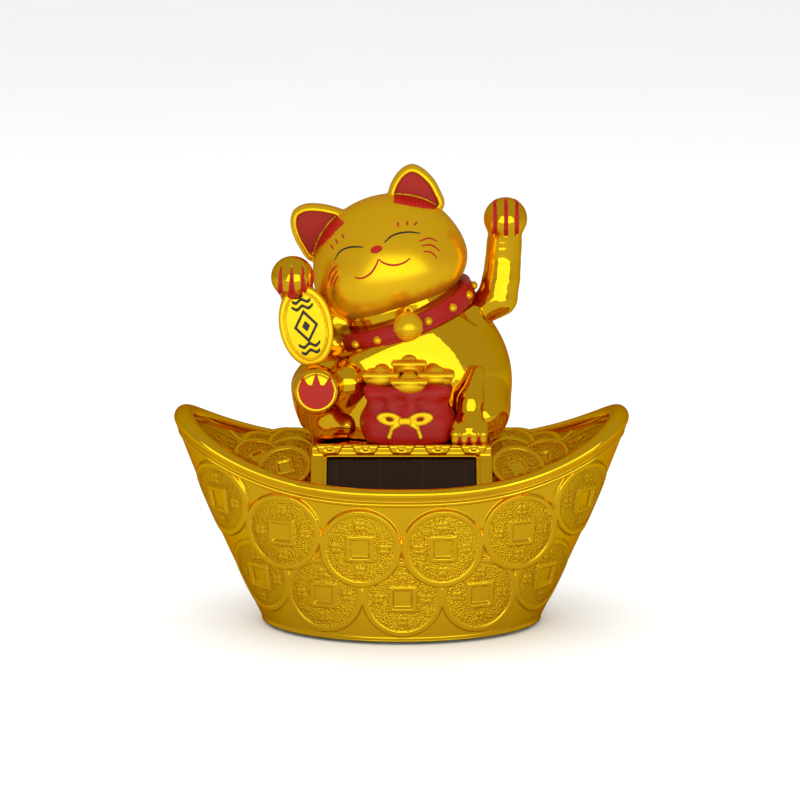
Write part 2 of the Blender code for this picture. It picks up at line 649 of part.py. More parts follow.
def make_body():
    """The body's front and back shells; the collar sits on their neck."""
    big = 70 * MM
    for name, low_y, high_y in (
        ("body_front_shell", -big, SEAM_Y - GAP),
        ("body_back_shell", SEAM_Y + GAP, big),
    ):
        shell = add(name, body_shell())
        cut(shell, collar_prism(big, big, -COLLAR_HALF_HEIGHT - GAP, 2 * big, 4))
        cut(shell, arm_hole())
        keep(shell, block((-big, low_y, 0), (big, high_y, 3 * big)))
        if high_y == big:
            for x, y in CAT_SCREWS:
                join(shell, turned([(2.5 * MM, PEDESTAL_TOP_Z + GAP), (2.5 * MM, 61 * MM)], 12, (x, y, 0)))
                join(shell, block((x - 1.2 * MM, y, PEDESTAL_TOP_Z + GAP), (x + 1.2 * MM, y + 3.6 * MM, 58 * MM)))
                cut(shell, turned([(PILOT, 50 * MM), (PILOT, 60 * MM)], 12, (x, y, 0)))


def make_collar():
    frame = collar_matrix()
    rings = []
    for radii, z in (
        (COLLAR_INNER, 1.2 * MM),
        (COLLAR_FOOT, -COLLAR_HALF_HEIGHT),
        (COLLAR_OUTER, -COLLAR_HALF_HEIGHT),
        (COLLAR_OUTER, COLLAR_HALF_HEIGHT),
        (COLLAR_INNER, COLLAR_HALF_HEIGHT),
    ):
        rings.append([frame @ (p + Vector((0, 0, z))) for p in circle(radii[0], 40, radii[1])])
    return add("collar", loft(rings, wrap=True), RED)


def make_bell():
    bell = add("bell", ball(Vector((1.8, -17.0, 85.6)) * MM, (4.0 * MM,) * 3, around=20, rows=12))
    cut(bell, collar_prism(COLLAR_OUTER[0] + GAP, COLLAR_OUTER[1] + GAP, -COLLAR_HALF_HEIGHT - GAP, COLLAR_HALF_HEIGHT + GAP, 48))
    cut(bell, body_skin(GAP))
    return bell


def head_matrix():
    return Matrix.Translation(HEAD_AT) @ Matrix.Rotation(HEAD_ROLL, 4, "Y")


def head_skin(inset, around=28, rows=14):
    """The head's closed skin: a wide ball with full cheeks."""
    bm = bmesh.new()
    bmesh.ops.create_uvsphere(bm, u_segments=around, v_segments=rows, radius=1.0)
    for vert in bm.verts:
        x, y, z = vert.co
        fuller = 1.0 + 0.05 * (1 - z * z) - 0.04 * z
        vert.co = Vector(
            (x * fuller * (HEAD_SIZE[0] - inset), y * (HEAD_SIZE[1] - inset), z * (HEAD_SIZE[2] - inset))
        )
    bmesh.ops.transform(bm, matrix=head_matrix(), verts=bm.verts)
    return bm


EARS = (  # each ear: the foot and the tip in the head's frame, in millimetres, and its half-width
    (Vector((10.2, 1.5, 8.0)), Vector((14.8, 1.0, 22.3)), 7.6),
    (Vector((-12.3, 1.5, 8.0)), Vector((-19.0, 1.0, 19.8)), 7.4),
)


def ear(foot, tip, half_width):
    """A rounded triangular ear, 6 mm thick at its foot."""
    up = (tip - foot).normalized()
    across = Vector((0, 1, 0)).cross(up).normalized()
    rings = []
    for share in (0.0, 0.2, 0.4, 0.6, 0.78, 0.9, 0.97, 1.0):
        half = half_width * sqrt(max(1 - share**2.2, 0.0)) + 0.25
        thick = 3.0 * (1 - 0.55 * share) * (1 if share < 0.95 else 0.6)
        centre = foot.lerp(tip, share)
        rings.append([(centre + across * p.x + Vector((0, p.y, 0))) * MM for p in circle(half, 16, thick)])
    bm = loft(rings)
    bmesh.ops.transform(bm, matrix=head_matrix(), verts=bm.verts)
    return bm


def make_head():
    """The face and the back of the head; the ears stay whole on the face's shell."""
    big = 70 * MM
    frame = head_matrix()
    split_y = 3.0 * MM
    for name, front in (("head_front_shell", True), ("head_back_shell", False)):
        head = add(name, head_skin(0.0), SATIN_GOLD)
        if front:
            for foot, tip, half_width in EARS:
                join(head, ear(foot, tip, half_width))
        cut(head, head_skin(BODY_WALL))
        cut(head, collar_prism(big, big, -2 * big, COLLAR_HALF_HEIGHT + GAP, 4))
        if front:
            side = block((-big, split_y, -big), (big, big, big))
            bmesh.ops.transform(side, matrix=frame, verts=side.verts)
            for vert in side.verts:
                vert.co.y = max(vert.co.y, split_y + HEAD_AT.y - GAP)
            keep_front(head, frame, split_y)
        else:
            keep_back(head, frame, split_y)


def keep_front(head, frame, split_y):
    """Takes the back of the ball away from the face's shell, and leaves the ears."""
    back = head_skin(-1 * MM)
    cutter = add("back_of_head", back, helper=True)
    half = block((-70 * MM, split_y - GAP, -70 * MM), (70 * MM, 70 * MM, 70 * MM))
    bmesh.ops.transform(half, matrix=frame, verts=half.verts)
    keep(cutter, half)
    boolean(head, cutter, "DIFFERENCE")


def keep_back(head, frame, split_y):
    """Takes the front of the ball away from the back shell, and clears the ears' feet."""
    half = block((-70 * MM, split_y + GAP, -70 * MM), (70 * MM, 70 * MM, 70 * MM))
    bmesh.ops.transform(half, matrix=frame, verts=half.verts)
    keep(head, half)
    for foot, tip, half_width in EARS:
        wider = ear(foot, tip, half_width)
        grow_about(wider, GAP * 2)
        cut(head, wider)


def grow_about(bm, by):
    """Moves every vertex out along its normal."""
    bmesh.ops.recalc_face_normals(bm, faces=bm.faces)
    bm.normal_update()
    for vert in bm.verts:
        vert.co += vert.normal * by


# ---- what the cat holds and stands on ----


def clear_of_cat(obj):
    """Cuts obj back from the body, the collar, the head and the pedestal, so that it rests against them."""
    cut(obj, body_skin(GAP))
    cut(obj, collar_prism(COLLAR_OUTER[0] + GAP, COLLAR_OUTER[1] + GAP, -COLLAR_HALF_HEIGHT - GAP, COLLAR_HALF_HEIGHT + GAP, 48))
    cut(obj, head_skin(-GAP))
    cut(obj, block((-70 * MM, -70 * MM, 0), (70 * MM, 70 * MM, PEDESTAL_TOP_Z + GAP)))
    return obj


def plaque_matrix():
    at = Vector((-25.6, -11.5, 84.6)) * MM
    return Matrix.Translation(at) @ Matrix.Rotation(radians(-10.5), 4, "Y") @ Matrix.Rotation(radians(90), 4, "X")


def plaque_prism(grow=0.0):
    frame = plaque_matrix()
    half_width, half_height, half_thick = 7.2 * MM + grow, 11.9 * MM + grow, 1.2 * MM + grow
    rings = []
    for inset, z in ((0.8, -1), (0.0, -0.4), (0.0, 0.4), (0.8, 1)):
        ring = circle(half_width - inset * MM, 40, half_height - inset * MM)
        rings.append([frame @ (p + Vector((0, 0, z * half_thick))) for p in ring])
    return loft(rings)


def make_held_plaque():
    plaque = add("coin_plaque", plaque_prism())
    path = [((-21.0, 2.0, 76.0), 4.6), ((-25.0, -1.5, 82.0), 4.4), ((-28.0, -5.0, 89.0), 4.2), ((-29.0, -8.5, 94.5), 4.8)]
    arm = add("holding_arm", swept([(Vector(p) * MM, r * MM) for p, r in path]))
    join(arm, ball(Vector((-28.6, -10.5, 97.6)) * MM, (6.0 * MM, 5.0 * MM, 5.4 * MM)))
    cut(arm, plaque_prism(GAP))
    clear_of_cat(arm)
    return plaque


def make_legs():
    """The raised right foot shows its sole, and the left foot stands flat."""
    sole = add("right_foot", ball(Vector((-22.6, -15.5, 67.8)) * MM, (7.0 * MM, 4.5 * MM, 7.2 * MM)))
    leg = [((-21.0, -1.0, 58.5), 5.4), ((-21.5, -8.0, 58.2), 5.2), ((-22.0, -13.5, 60.5), 4.4), ((-22.3, -15.0, 64.0), 4.0)]
    join(sole, swept([(Vector(p) * MM, r * MM) for p, r in leg]))
    cut(sole, plaque_prism(GAP))
    clear_of_cat(sole)
    flat = add("left_foot", ball(Vector((18.2, -13.6, 57.0)) * MM, (5.5 * MM, 5.2 * MM, 4.4 * MM)))
    shin = [((18.0, -10.0, 55.0), 4.4), ((19.0, -10.5, 61.0), 4.2), ((20.5, -7.5, 67.0), 3.8)]
    join(flat, swept([(Vector(p) * MM, r * MM) for p, r in shin]))
    cut(flat, bag_skin(2 * GAP))
    clear_of_cat(flat)


BAG_PROFILE = (  # half-width and height, in millimetres
    (8.6, 53.4),
    (11.0, 54.6),
    (12.2, 58.5),
    (11.6, 63.0),
    (11.0, 65.0),
    (11.8, 67.5),
    (11.2, 69.0),
    (9.0, 69.8),
)
BAG_AT = Vector((1.7, -12.6, 0)) * MM


def bag_skin(grow=0.0):
    rings = []
    for half_width, z in BAG_PROFILE:
        ring = circle(half_width * MM + grow, 28, half_width * 0.52 * MM + grow)
        rings.append([p + BAG_AT + Vector((0, 0, z * MM)) for p in ring])
    return loft(rings)


def make_money_bag():
    """The lucky bag, the little ingots heaped on it, and its bow."""
    bag = add("money_bag", bag_skin(), RED)
    clear_of_cat(bag)
    heap = add("bag_ingots", ball(BAG_AT + Vector((0, -0.5, 73.0)) * MM, (3.6 * MM, 2.8 * MM, 4.2 * MM), around=16, rows=10))
    for x, y, z in ((-6.2, -0.4, 71.4), (6.2, -0.4, 71.4), (0.2, -3.4, 70.8)):
        join(heap, ball(BAG_AT + Vector((x, y, z)) * MM, (4.6 * MM, 3.0 * MM, 2.1 * MM), around=16, rows=10))
    cut(heap, block((-40 * MM, -40 * MM, 0), (40 * MM, 40 * MM, 69.8 * MM + GAP)))
    clear_of_cat(heap)
    bow_at = BAG_AT + Vector((-0.7, -7.3, 60.6)) * MM
    bow = add("bag_bow", block(bow_at + Vector((-2.2, -0.9, -1.2)) * MM, bow_at + Vector((2.2, 0.9, 1.2)) * MM))
    for side in (-1, 1):
        join(bow, ball(bow_at + Vector((side * 4.2, 0.3, 0.5)) * MM, (2.8 * MM, 0.9 * MM, 1.7 * MM), around=12, rows=8))


def hang_on_axis(name, children):
    """Puts an empty on the shaft and hangs the moving pieces from it, with their origins there."""
    axis = bpy.data.objects.new(name, None)
    axis.location = (PENDULUM_X / 1000, SHAFT_Y / 1000, SHAFT_Z / 1000)
    bpy.context.collection.objects.link(axis)
    for child in children:
        obj = bpy.data.objects[child]
        obj.data.transform(Matrix.Translation(-axis.location))
        obj.parent = axis


def build():
    clear_scene()
    make_hull()
    make_deck()
    make_coin_heaps()
    make_lotus_trim()
    make_solar_cell()
    make_base_plate()
    make_feet()
    make_screws()
    make_board()
    make_leads()
    make_swing_frame()
    make_shaft_and_pendulum()
    make_arm()
    make_body()
    make_collar()
    make_bell()
    make_head()
    make_held_plaque()
    make_legs()
    make_money_bag()
    for obj in bpy.data.objects:
        obj.data.transform(Matrix.Scale(0.001, 4))
    hang_on_axis("arm_axis", ("arm_front_shell", "arm_back_shell", "arm_shaft", "pendulum", "pendulum_magnet"))


build()
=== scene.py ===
"""The beckoning cat on its ingot, dressed: detailed shells, painted details, gold and studio light."""

from math import cos, pi, radians, sin

import bpy
import numpy as np
from mathutils import Matrix, Vector


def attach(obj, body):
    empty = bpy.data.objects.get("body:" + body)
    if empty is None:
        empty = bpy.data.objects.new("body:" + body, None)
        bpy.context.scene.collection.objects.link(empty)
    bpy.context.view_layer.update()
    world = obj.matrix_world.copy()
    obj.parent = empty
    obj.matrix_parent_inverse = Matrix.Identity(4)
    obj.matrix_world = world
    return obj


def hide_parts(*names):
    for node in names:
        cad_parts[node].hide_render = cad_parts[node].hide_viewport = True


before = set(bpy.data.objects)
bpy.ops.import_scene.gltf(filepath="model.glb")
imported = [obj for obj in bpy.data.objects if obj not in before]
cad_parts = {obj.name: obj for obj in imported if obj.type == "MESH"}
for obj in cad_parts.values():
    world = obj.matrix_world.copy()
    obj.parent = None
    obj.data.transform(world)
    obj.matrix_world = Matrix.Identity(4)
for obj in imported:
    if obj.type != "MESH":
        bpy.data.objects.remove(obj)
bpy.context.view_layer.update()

MM = 0.001

# ---------------------------------------------------------------- distance fields, in millimetres
# A field takes points of shape (..., 3) and gives how far each lies outside a shape, negative inside.


def at(*p):
    return np.array(p, float)


def turned(rolls):
    """A frame from several (degrees, axis) turns, the first one outermost."""
    whole = Matrix.Identity(3)
    for degrees, axis in rolls:
        whole = whole @ Matrix.Rotation(radians(degrees), 3, axis)
    return np.array(whole)


def local(p, middle, frame_=None):
    q = p - middle
    return q if frame_ is None else q @ frame_


def ellipsoid(p, middle, radii, frame_=None):
    q = local(p, at(*middle), frame_) / at(*radii)
    near = np.linalg.norm(q, axis=-1)
    steep = np.linalg.norm(q / at(*radii), axis=-1) + 1e-9
    return near * (near - 1) / steep


def limb(p, start, end, first, last):
    """A round cone from start to end."""
    a, b = at(*start), at(*end)
    along = b - a
    share = np.clip(((p - a) @ along) / (along @ along), 0, 1)
    return np.linalg.norm(p - a - share[..., None] * along, axis=-1) - (first + (last - first) * share)


def chain(p, points, blend=1.0):
    """Limbs through (x, y, z, radius) points."""
    whole = None
    for one, two in zip(points, points[1:]):
        piece = limb(p, one[:3], two[:3], one[3], two[3])
        whole = piece if whole is None else meld(whole, piece, blend)
    return whole


def meld(a, b, blend):
    """The union, with a fillet of about blend."""
    h = np.clip(0.5 + 0.5 * (b - a) / blend, 0, 1)
    return b + (a - b) * h - blend * h * (1 - h)


def carve(a, b, blend):
    """a without b, with a rounded edge."""
    return -meld(-a, b, blend)


def overlap(a, b, blend=0.3):
    return -meld(-a, -b, blend)


def nearest_of(fields):
    """The plain union of several fields."""
    return np.minimum.reduce(list(fields))


def rounded_box(p, middle, half, radius, frame_=None):
    q = np.abs(local(p, at(*middle), frame_)) - (at(*half) - radius)
    return np.linalg.norm(np.maximum(q, 0), axis=-1) + np.minimum(q.max(-1), 0) - radius


# ---------------------------------------------------------------- meshes


def new_object(name, points, faces, spec=None):
    mesh = bpy.data.meshes.new(name)
    mesh.vertices.add(len(points))
    mesh.vertices.foreach_set("co", (np.asarray(points, float) * MM).astype(np.float32).ravel())
    faces = np.asarray(faces, np.int32)
    mesh.loops.add(faces.size)
    mesh.loops.foreach_set("vertex_index", faces.ravel())
    mesh.polygons.add(len(faces))
    mesh.polygons.foreach_set("loop_start", np.arange(0, faces.size, faces.shape[1], dtype=np.int32))
    mesh.update(calc_edges=True)
    mesh.validate()
    mesh.shade_smooth()
    obj = bpy.data.objects.new(name, mesh)
    bpy.context.scene.collection.objects.link(obj)
    if spec:
        mesh.materials.append(spec)
    return obj


def gradient(field, points, eps=0.02):
    steps = np.eye(3) * eps
    return np.stack([field(points + s) - field(points - s) for s in steps], -1) / (2 * eps)


def skin(name, field, low, high, step, spec, body="figurine"):
    """The surface where field is 0, as an even mesh of quads: surface nets, drawn onto the field."""
    axes = [np.arange(lo - step, hi + 2 * step, step) for lo, hi in zip(low, high)]
    grid = np.stack(np.meshgrid(*axes, indexing="ij"), -1)
    value = field(grid)
    inside = value < 0
    halves = (slice(0, -1), slice(1, None))
    count = sum(inside[i, j, k].astype(np.int8) for i in halves for j in halves for k in halves)
    cells = np.argwhere((count > 0) & (count < 8))
    number = np.full(count.shape, -1, np.int64)
    number[tuple(cells.T)] = np.arange(len(cells))
    total, hits = np.zeros((len(cells), 3)), np.zeros(len(cells))
    for axis in range(3):
        others = [a for a in range(3) if a != axis]
        for du in (0, 1):
            for dv in (0, 1):
                start = cells.copy()
                start[:, others[0]] += du
                start[:, others[1]] += dv
                end = start.copy()
                end[:, axis] += 1
                a, b = value[tuple(start.T)], value[tuple(end.T)]
                crossed = (a < 0) != (b < 0)
                share = np.where(crossed, a / np.where(crossed, a - b, 1), 0)
                place = start.astype(float)
                place[:, axis] += share
                total += np.where(crossed[:, None], place, 0)
                hits += crossed
    points = total / hits[:, None] * step + at(*[a[0] for a in axes])
    quads = []
    for axis in range(3):
        u, v = (axis + 1) % 3, (axis + 2) % 3
        first = [slice(None)] * 3
        second = [slice(None)] * 3
        first[axis], second[axis] = slice(0, -1), slice(1, None)
        a, b = inside[tuple(first)], inside[tuple(second)]
        edges = np.argwhere(a != b)
        edges = edges[(edges[:, u] > 0) & (edges[:, v] > 0)]
        edges = edges[(edges[:, u] < value.shape[u] - 1) & (edges[:, v] < value.shape[v] - 1)]
        out = a[tuple(edges.T)]
        ring = []
        for du, dv in ((-1, -1), (0, -1), (0, 0), (-1, 0)):
            cell = edges.copy()
            cell[:, u] += du
            cell[:, v] += dv
            ring.append(number[tuple(cell.T)])
        ring = np.stack(ring, -1)
        ring[~out] = ring[~out][:, ::-1]
        quads.append(ring)
    for _ in range(4):
        slope = gradient(field, points)
        size = (slope**2).sum(-1, keepdims=True) + 1e-6
        shift = field(points)[:, None] * slope / size
        points -= np.clip(shift, -0.4 * step, 0.4 * step)
    obj = new_object(name, points, np.concatenate(quads), spec)
    normal = gradient(field, points, 0.12)
    normal /= np.linalg.norm(normal, axis=-1, keepdims=True) + 1e-9
    obj.data.normals_split_custom_set_from_vertices(normal)
    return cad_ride(obj, body)


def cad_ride(obj, body="figurine"):
    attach(obj, body)
    return obj


def mark_stipple(obj, values):
    """Stores how strongly each point's surface is stippled, for relief_gold to read."""
    store = obj.data.attributes.new("stipple", "FLOAT", "POINT")
    store.data.foreach_set("value", values.ravel().astype(np.float32))


def grid_mesh(name, rows, spec, body="figurine", around=True, closed=False):
    """A quad mesh through rows of points; around joins each row's ends, closed the first and last rows."""
    rows = np.asarray(rows, float)
    n, m = rows.shape[:2]
    index = np.arange(n * m).reshape(n, m)
    low = index if closed else index[:-1]
    high = np.roll(index, -1, 0) if closed else index[1:]
    if around:
        quads = np.stack([low, np.roll(low, -1, 1), np.roll(high, -1, 1), high], -1)
    else:
        quads = np.stack([low[:, :-1], low[:, 1:], high[:, 1:], high[:, :-1]], -1)
    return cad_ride(new_object(name, rows.reshape(-1, 3), quads.reshape(-1, 4), spec), body)


def paint_on(name, field, strokes, spec, width=0.3, lift=0.05, body="figurine"):
    """Brush strokes on a field's surface: each is a list of (x, z) seen from the front, or (x, y, z)."""
    points, faces = [], []
    for stroke in strokes:
        line = smooth_line([at(*p) for p in stroke], 12)
        line = settle(field, line)
        normal = gradient(field, line)
        normal /= np.linalg.norm(normal, axis=-1, keepdims=True)
        along = np.gradient(line, axis=0)
        side = np.cross(along, normal)
        side /= np.linalg.norm(side, axis=-1, keepdims=True)
        share = np.linspace(0, 1, len(line))
        half = width / 2 * (0.4 + 0.6 * np.sin(pi * share) ** 0.4)
        base = len(points)
        ring = [(cos(a), sin(a)) for a in np.linspace(0, 2 * pi, 8, endpoint=False)]
        for place, n, s, h in zip(line, normal, side, half):
            points += [place + s * h * c + n * lift * d for c, d in ring]
        for i in range(len(line) - 1):
            for j in range(8):
                k = (j + 1) % 8
                row = base + i * 8
                faces.append([row + j, row + k, row + 8 + k, row + 8 + j])
    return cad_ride(new_object(name, points, faces, spec), body)


def curve_point(a, b, c, d, t):
    """The point at share t from b to c on a smooth curve through four points."""
    bend = (2 * a - 5 * b + 4 * c - d) * t * t
    return 0.5 * (2 * b + (c - a) * t + bend + (3 * b - a - 3 * c + d) * t**3)


def smooth_line(points, steps):
    points = [np.asarray(p, float) for p in points]
    ends = [2 * points[0] - points[1], *points, 2 * points[-1] - points[-2]]
    line = []
    for a, b, c, d in zip(ends, ends[1:], ends[2:], ends[3:]):
        line += [curve_point(a, b, c, d, i / steps) for i in range(steps)]
    line.append(points[-1])
    return np.array(line)


def settle(field, line):
    """Moves points onto the field's surface: (x, z) ones along Y from the front, others the shortest way."""
    if line.shape[1] == 2:
        line = np.stack([line[:, 0], np.full(len(line), -40.0), line[:, 1]], -1)
        for _ in range(60):
            line[:, 1] += np.maximum(field(line), -1) * 0.8
        return line
    for _ in range(6):
        slope = gradient(field, line)
        line = line - field(line)[:, None] * slope / ((slope**2).sum(-1, keepdims=True) + 1e-6)
    return line


# ---------------------------------------------------------------- materials


def shader_of(name):
    made = bpy.data.materials.new(name)
    made.use_nodes = True
    return made, made.node_tree, made.node_tree.nodes["Principled BSDF"]


def noise(tree, scale, detail=3.0, rough=0.5):
    place = tree.nodes.new("ShaderNodeTexCoord")
    found = tree.nodes.new("ShaderNodeTexNoise")
    found.inputs["Scale"].default_value = scale
    found.inputs["Detail"].default_value = detail
    found.inputs["Roughness"].default_value = rough
    tree.links.new(place.outputs["Object"], found.inputs["Vector"])
    return found.outputs["Fac"]


def spread(tree, value, low, high, from_low=0.15, from_high=0.85):
    """Maps a 0-1 value onto low to high."""
    made = tree.nodes.new("ShaderNodeMapRange")
    made.inputs["From Min"].default_value = from_low
    made.inputs["From Max"].default_value = from_high
    made.inputs["To Min"].default_value = low
    made.inputs["To Max"].default_value = high
    tree.links.new(value, made.inputs["Value"])
    return made.outputs["Result"]


def tint(tree, value, first, second):
    made = tree.nodes.new("ShaderNodeMix")
    made.data_type = "RGBA"
    tree.links.new(value, made.inputs["Factor"])
    made.inputs["A"].default_value = (*first, 1)
    made.inputs["B"].default_value = (*second, 1)
    return made.outputs["Result"]


def bump(tree, height, strength, distance):
    made = tree.nodes.new("ShaderNodeBump")
    made.inputs["Strength"].default_value = strength
    made.inputs["Distance"].default_value = distance
    tree.links.new(height, made.inputs["Height"])
    return made


def scaled(tree, a, b, operation="MULTIPLY"):
    made = tree.nodes.new("ShaderNodeMath")
    made.operation = operation
    for socket, value in zip(made.inputs, (a, b)):
        if isinstance(value, (int, float)):
            socket.default_value = value
        else:
            tree.links.new(value, socket)
    return made.outputs["Value"]


def plated(name, colour, deeper, rough, ripple=0.06, stipple=False, metal=1.0):
    """Vacuum-plated plastic: a thin metal skin with the moulding's faint ripple and handled patches."""
    made, tree, shader = shader_of(name)
    shader.inputs["Metallic"].default_value = metal
    shader.inputs["Specular Tint"].default_value = (0.80, 0.46, 0.10, 1)
    cloud = noise(tree, 55, 4)
    tree.links.new(tint(tree, spread(tree, cloud, 0, 1), colour, deeper), shader.inputs["Base Color"])
    worn = spread(tree, noise(tree, 110, 2, 0.5), rough * 0.85, rough * 1.2)
    tree.links.new(worn, shader.inputs["Roughness"])
    skin_bump = bump(tree, noise(tree, 420, 2), ripple, 0.0004)
    last = skin_bump
    if stipple:
        mask = tree.nodes.new("ShaderNodeAttribute")
        mask.attribute_name = "stipple"
        grains = tree.nodes.new("ShaderNodeTexVoronoi")
        grains.inputs["Scale"].default_value = 2300
        place = tree.nodes.new("ShaderNodeTexCoord")
        tree.links.new(place.outputs["Object"], grains.inputs["Vector"])
        height = scaled(tree, grains.outputs["Distance"], mask.outputs["Fac"])
        last = bump(tree, height, 0.75, 0.0004)
        tree.links.new(skin_bump.outputs["Normal"], last.inputs["Normal"])
    tree.links.new(last.outputs["Normal"], shader.inputs["Normal"])
    return made


def coated(name, colour, deeper, rough, coat=0.0, ripple=0.05, grain=600, metallic=0.0, ior=1.45):
    """Paint, rubber or moulded plastic, with a fine grain and slight changes of tone."""
    made, tree, shader = shader_of(name)
    shader.inputs["Metallic"].default_value = metallic
    shader.inputs["Coat Weight"].default_value = coat
    shader.inputs["IOR"].default_value = ior
    shader.inputs["Coat Roughness"].default_value = 0.06
    cloud = spread(tree, noise(tree, 90, 4), 0, 1)
    tree.links.new(tint(tree, cloud, colour, deeper), shader.inputs["Base Color"])
    worn = spread(tree, noise(tree, grain * 0.4, 4), rough * 0.8, rough * 1.25)
    tree.links.new(worn, shader.inputs["Roughness"])
    fine = bump(tree, noise(tree, grain, 3), ripple, 0.0003)
    tree.links.new(fine.outputs["Normal"], shader.inputs["Normal"])
    return made


def cell_glass():
    """A thin-film solar cell: dark strips with hairline gaps, under glass."""
    made, tree, shader = shader_of("cell_glass")
    place = tree.nodes.new("ShaderNodeTexCoord")
    strips = tree.nodes.new("ShaderNodeTexWave")
    strips.bands_direction = "X"
    strips.inputs["Scale"].default_value = 27
    strips.inputs["Distortion"].default_value = 0
    tree.links.new(place.outputs["Object"], strips.inputs["Vector"])
    gap = spread(tree, strips.outputs["Fac"], 0, 1, 0.985, 0.995)
    cloud = spread(tree, noise(tree, 120, 4), 0.0, 0.35)
    brown = tint(tree, scaled(tree, gap, cloud, "MAXIMUM"), (0.016, 0.006, 0.002), (0.022, 0.009, 0.0035))
    tree.links.new(brown, shader.inputs["Base Color"])
    tree.links.new(spread(tree, noise(tree, 300, 3), 0.04, 0.09), shader.inputs["Roughness"])
    shader.inputs["IOR"].default_value = 1.3
    return made


BRIGHT = (1.0, 0.585, 0.014)
DEEP = (0.97, 0.53, 0.012)
gold = plated("gold_plating", BRIGHT, DEEP, 0.05)
satin = plated("satin_gold", BRIGHT, DEEP, 0.27, 0.012, metal=0.86)
relief_gold = plated("relief_gold", BRIGHT, (0.96, 0.52, 0.012), 0.17, 0.05, stipple=True)
red = coated("red_lacquer", (0.31, 0.004, 0.002), (0.26, 0.003, 0.002), 0.32, ior=1.32)
brush_red = coated("brushed_red", (0.37, 0.009, 0.003), (0.32, 0.007, 0.002), 0.4, ior=1.3)
black = coated("black_paint", (0.008, 0.008, 0.008), (0.014, 0.013, 0.012), 0.4)


# ---------------------------------------------------------------- the ingot

RIM_A, RIM_B = 61.0, 32.0
RIM_LOW, RIM_RISE, RIM_CURVE = 42.6, 15.6, 2.75
FOOT_A, FOOT_B, FOOT_Z = 38.8, 26.0, 0.8
BOWL_LOW = 41.0


def rim_z(x):
    return RIM_LOW + RIM_RISE * np.minimum(np.abs(x) / RIM_A, 1.0) ** RIM_CURVE


# Each cast coin on the hull, seen from the front: its middle in X and Z. The upper row lies over the lower.
UPPER_COINS = [(s * x, z) for x, z in ((11.0, 27.5), (32.3, 30.9), (49.9, 37.5)) for s in (-1, 1)]
LOWER_COINS = [(0.2, 13.1), (-21.2, 13.5), (21.4, 13.5), (-39.2, 16.2), (39.6, 16.2)]
COIN_R = 11.0


def step(edge, value, soft=0.25):
    """0 below edge and 1 above it."""
    t = np.clip((value - edge) / soft + 0.5, 0, 1)
    return t * t * (3 - 2 * t)


def coin_relief(u, v):
    """(height, stipple mask) of one coin at u, v from its middle: rim ring, square frame and flower marks."""
    far = np.hypot(u, v)
    box = np.maximum(np.abs(u), np.abs(v))
    ring = step(9.35, far, 0.3) * 0.45
    frame_ = (step(2.5, box) - step(3.75, box)) * 0.6
    marks = np.zeros_like(far)
    for turn in range(4):
        cu, cv = 6.5 * cos(turn * pi / 2), 6.5 * sin(turn * pi / 2)
        for petal in range(4):
            way = petal * pi / 2 + pi / 4
            pu, pv = cu + 0.95 * cos(way), cv + 0.95 * sin(way)
            marks = np.maximum(marks, 1 - step(0.62, np.hypot(u - pu, v - pv), 0.4))
    field_ = step(3.8, box) * (1 - step(9.2, far))
    hole = (1 - step(2.5, box)) * 0.15
    return 0.25 + ring + frame_ - hole + marks * 0.4, field_ * (1 - marks)


def hull_relief(points, turns):
    """How far the cast coins stand out of the hull, and their stippled fields; both faces carry the same."""
    steps = np.linalg.norm(np.roll(points, -1, 1)[..., :2] - points[..., :2], axis=-1)
    run = np.cumsum(steps, 1) - steps
    quarter = len(turns) // 4
    around = np.where(turns >= pi, run - run[:, [3 * quarter]], run[:, [quarter]] - run)
    height, mask = np.zeros_like(around), np.zeros_like(around)
    for coins in (LOWER_COINS, UPPER_COINS):
        for cx, cz in coins:
            near = (points[..., 0] - cx) ** 2 + (points[..., 2] - cz) ** 2
            u = around - around[np.unravel_index(near.argmin(), near.shape)]
            v = points[..., 2] - cz
            cover = 1 - step(COIN_R, np.hypot(u, v), 0.35)
            rise, field_ = coin_relief(u, v)
            lift = 0.3 if coins is UPPER_COINS else 0.0
            height = height * (1 - cover) + (rise + lift) * cover
            mask = mask * (1 - cover) + field_ * cover
    return height, mask


def hull_skin(turns, shares):
    """Points of the hull's plain skin; its ends swell slightly."""
    t, s = np.meshgrid(turns, shares)
    swell = 1.0 * np.sin(pi * s) * np.cos(t) ** 2
    x = (FOOT_A + (RIM_A + 1.5 - FOOT_A) * s + swell) * np.cos(t)
    y = (FOOT_B + (RIM_B - FOOT_B) * s) * np.sin(t)
    top = rim_z(RIM_A * np.cos(t)) - 1.2
    return np.stack([x, y, FOOT_Z + (top - FOOT_Z) * s], -1)


def make_hull():
    turns = np.linspace(0, 2 * pi, 1160, endpoint=False)
    shares = np.linspace(0, 1, 158)
    points = hull_skin(turns, shares)
    across = np.roll(points, -1, 1) - np.roll(points, 1, 1)
    upward = np.gradient(points, axis=0)
    normal = np.cross(across, upward)
    normal /= np.linalg.norm(normal, axis=-1, keepdims=True)
    height, mask = hull_relief(points, turns)
    fade = step(1.2, points[..., 2], 1.2)
    facing = np.clip(np.abs(np.sin(turns)) / 0.35, 0.45, 1.0)
    height = 0.7 + (height - 0.7) * facing
    outside = points + normal * ((height - 0.75) * fade)[..., None]
    edge = [outside[0] * at(0.985, 0.98, 1), hull_skin(turns, [0.02])[0] * at(0.95, 0.93, 1)]
    inner = hull_skin(turns, np.linspace(0.05, 1, 8)) * at(0.955, 0.94, 1)
    rows = np.concatenate([inner[::-1], [edge[1]], [edge[0]], outside])
    hull = grid_mesh("hull_cast", rows, relief_gold, closed=True)
    values = np.zeros(rows.shape[:2])
    values[len(inner) + 2 :] = mask * fade
    mark_stipple(hull, values)
    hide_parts("ingot_hull")


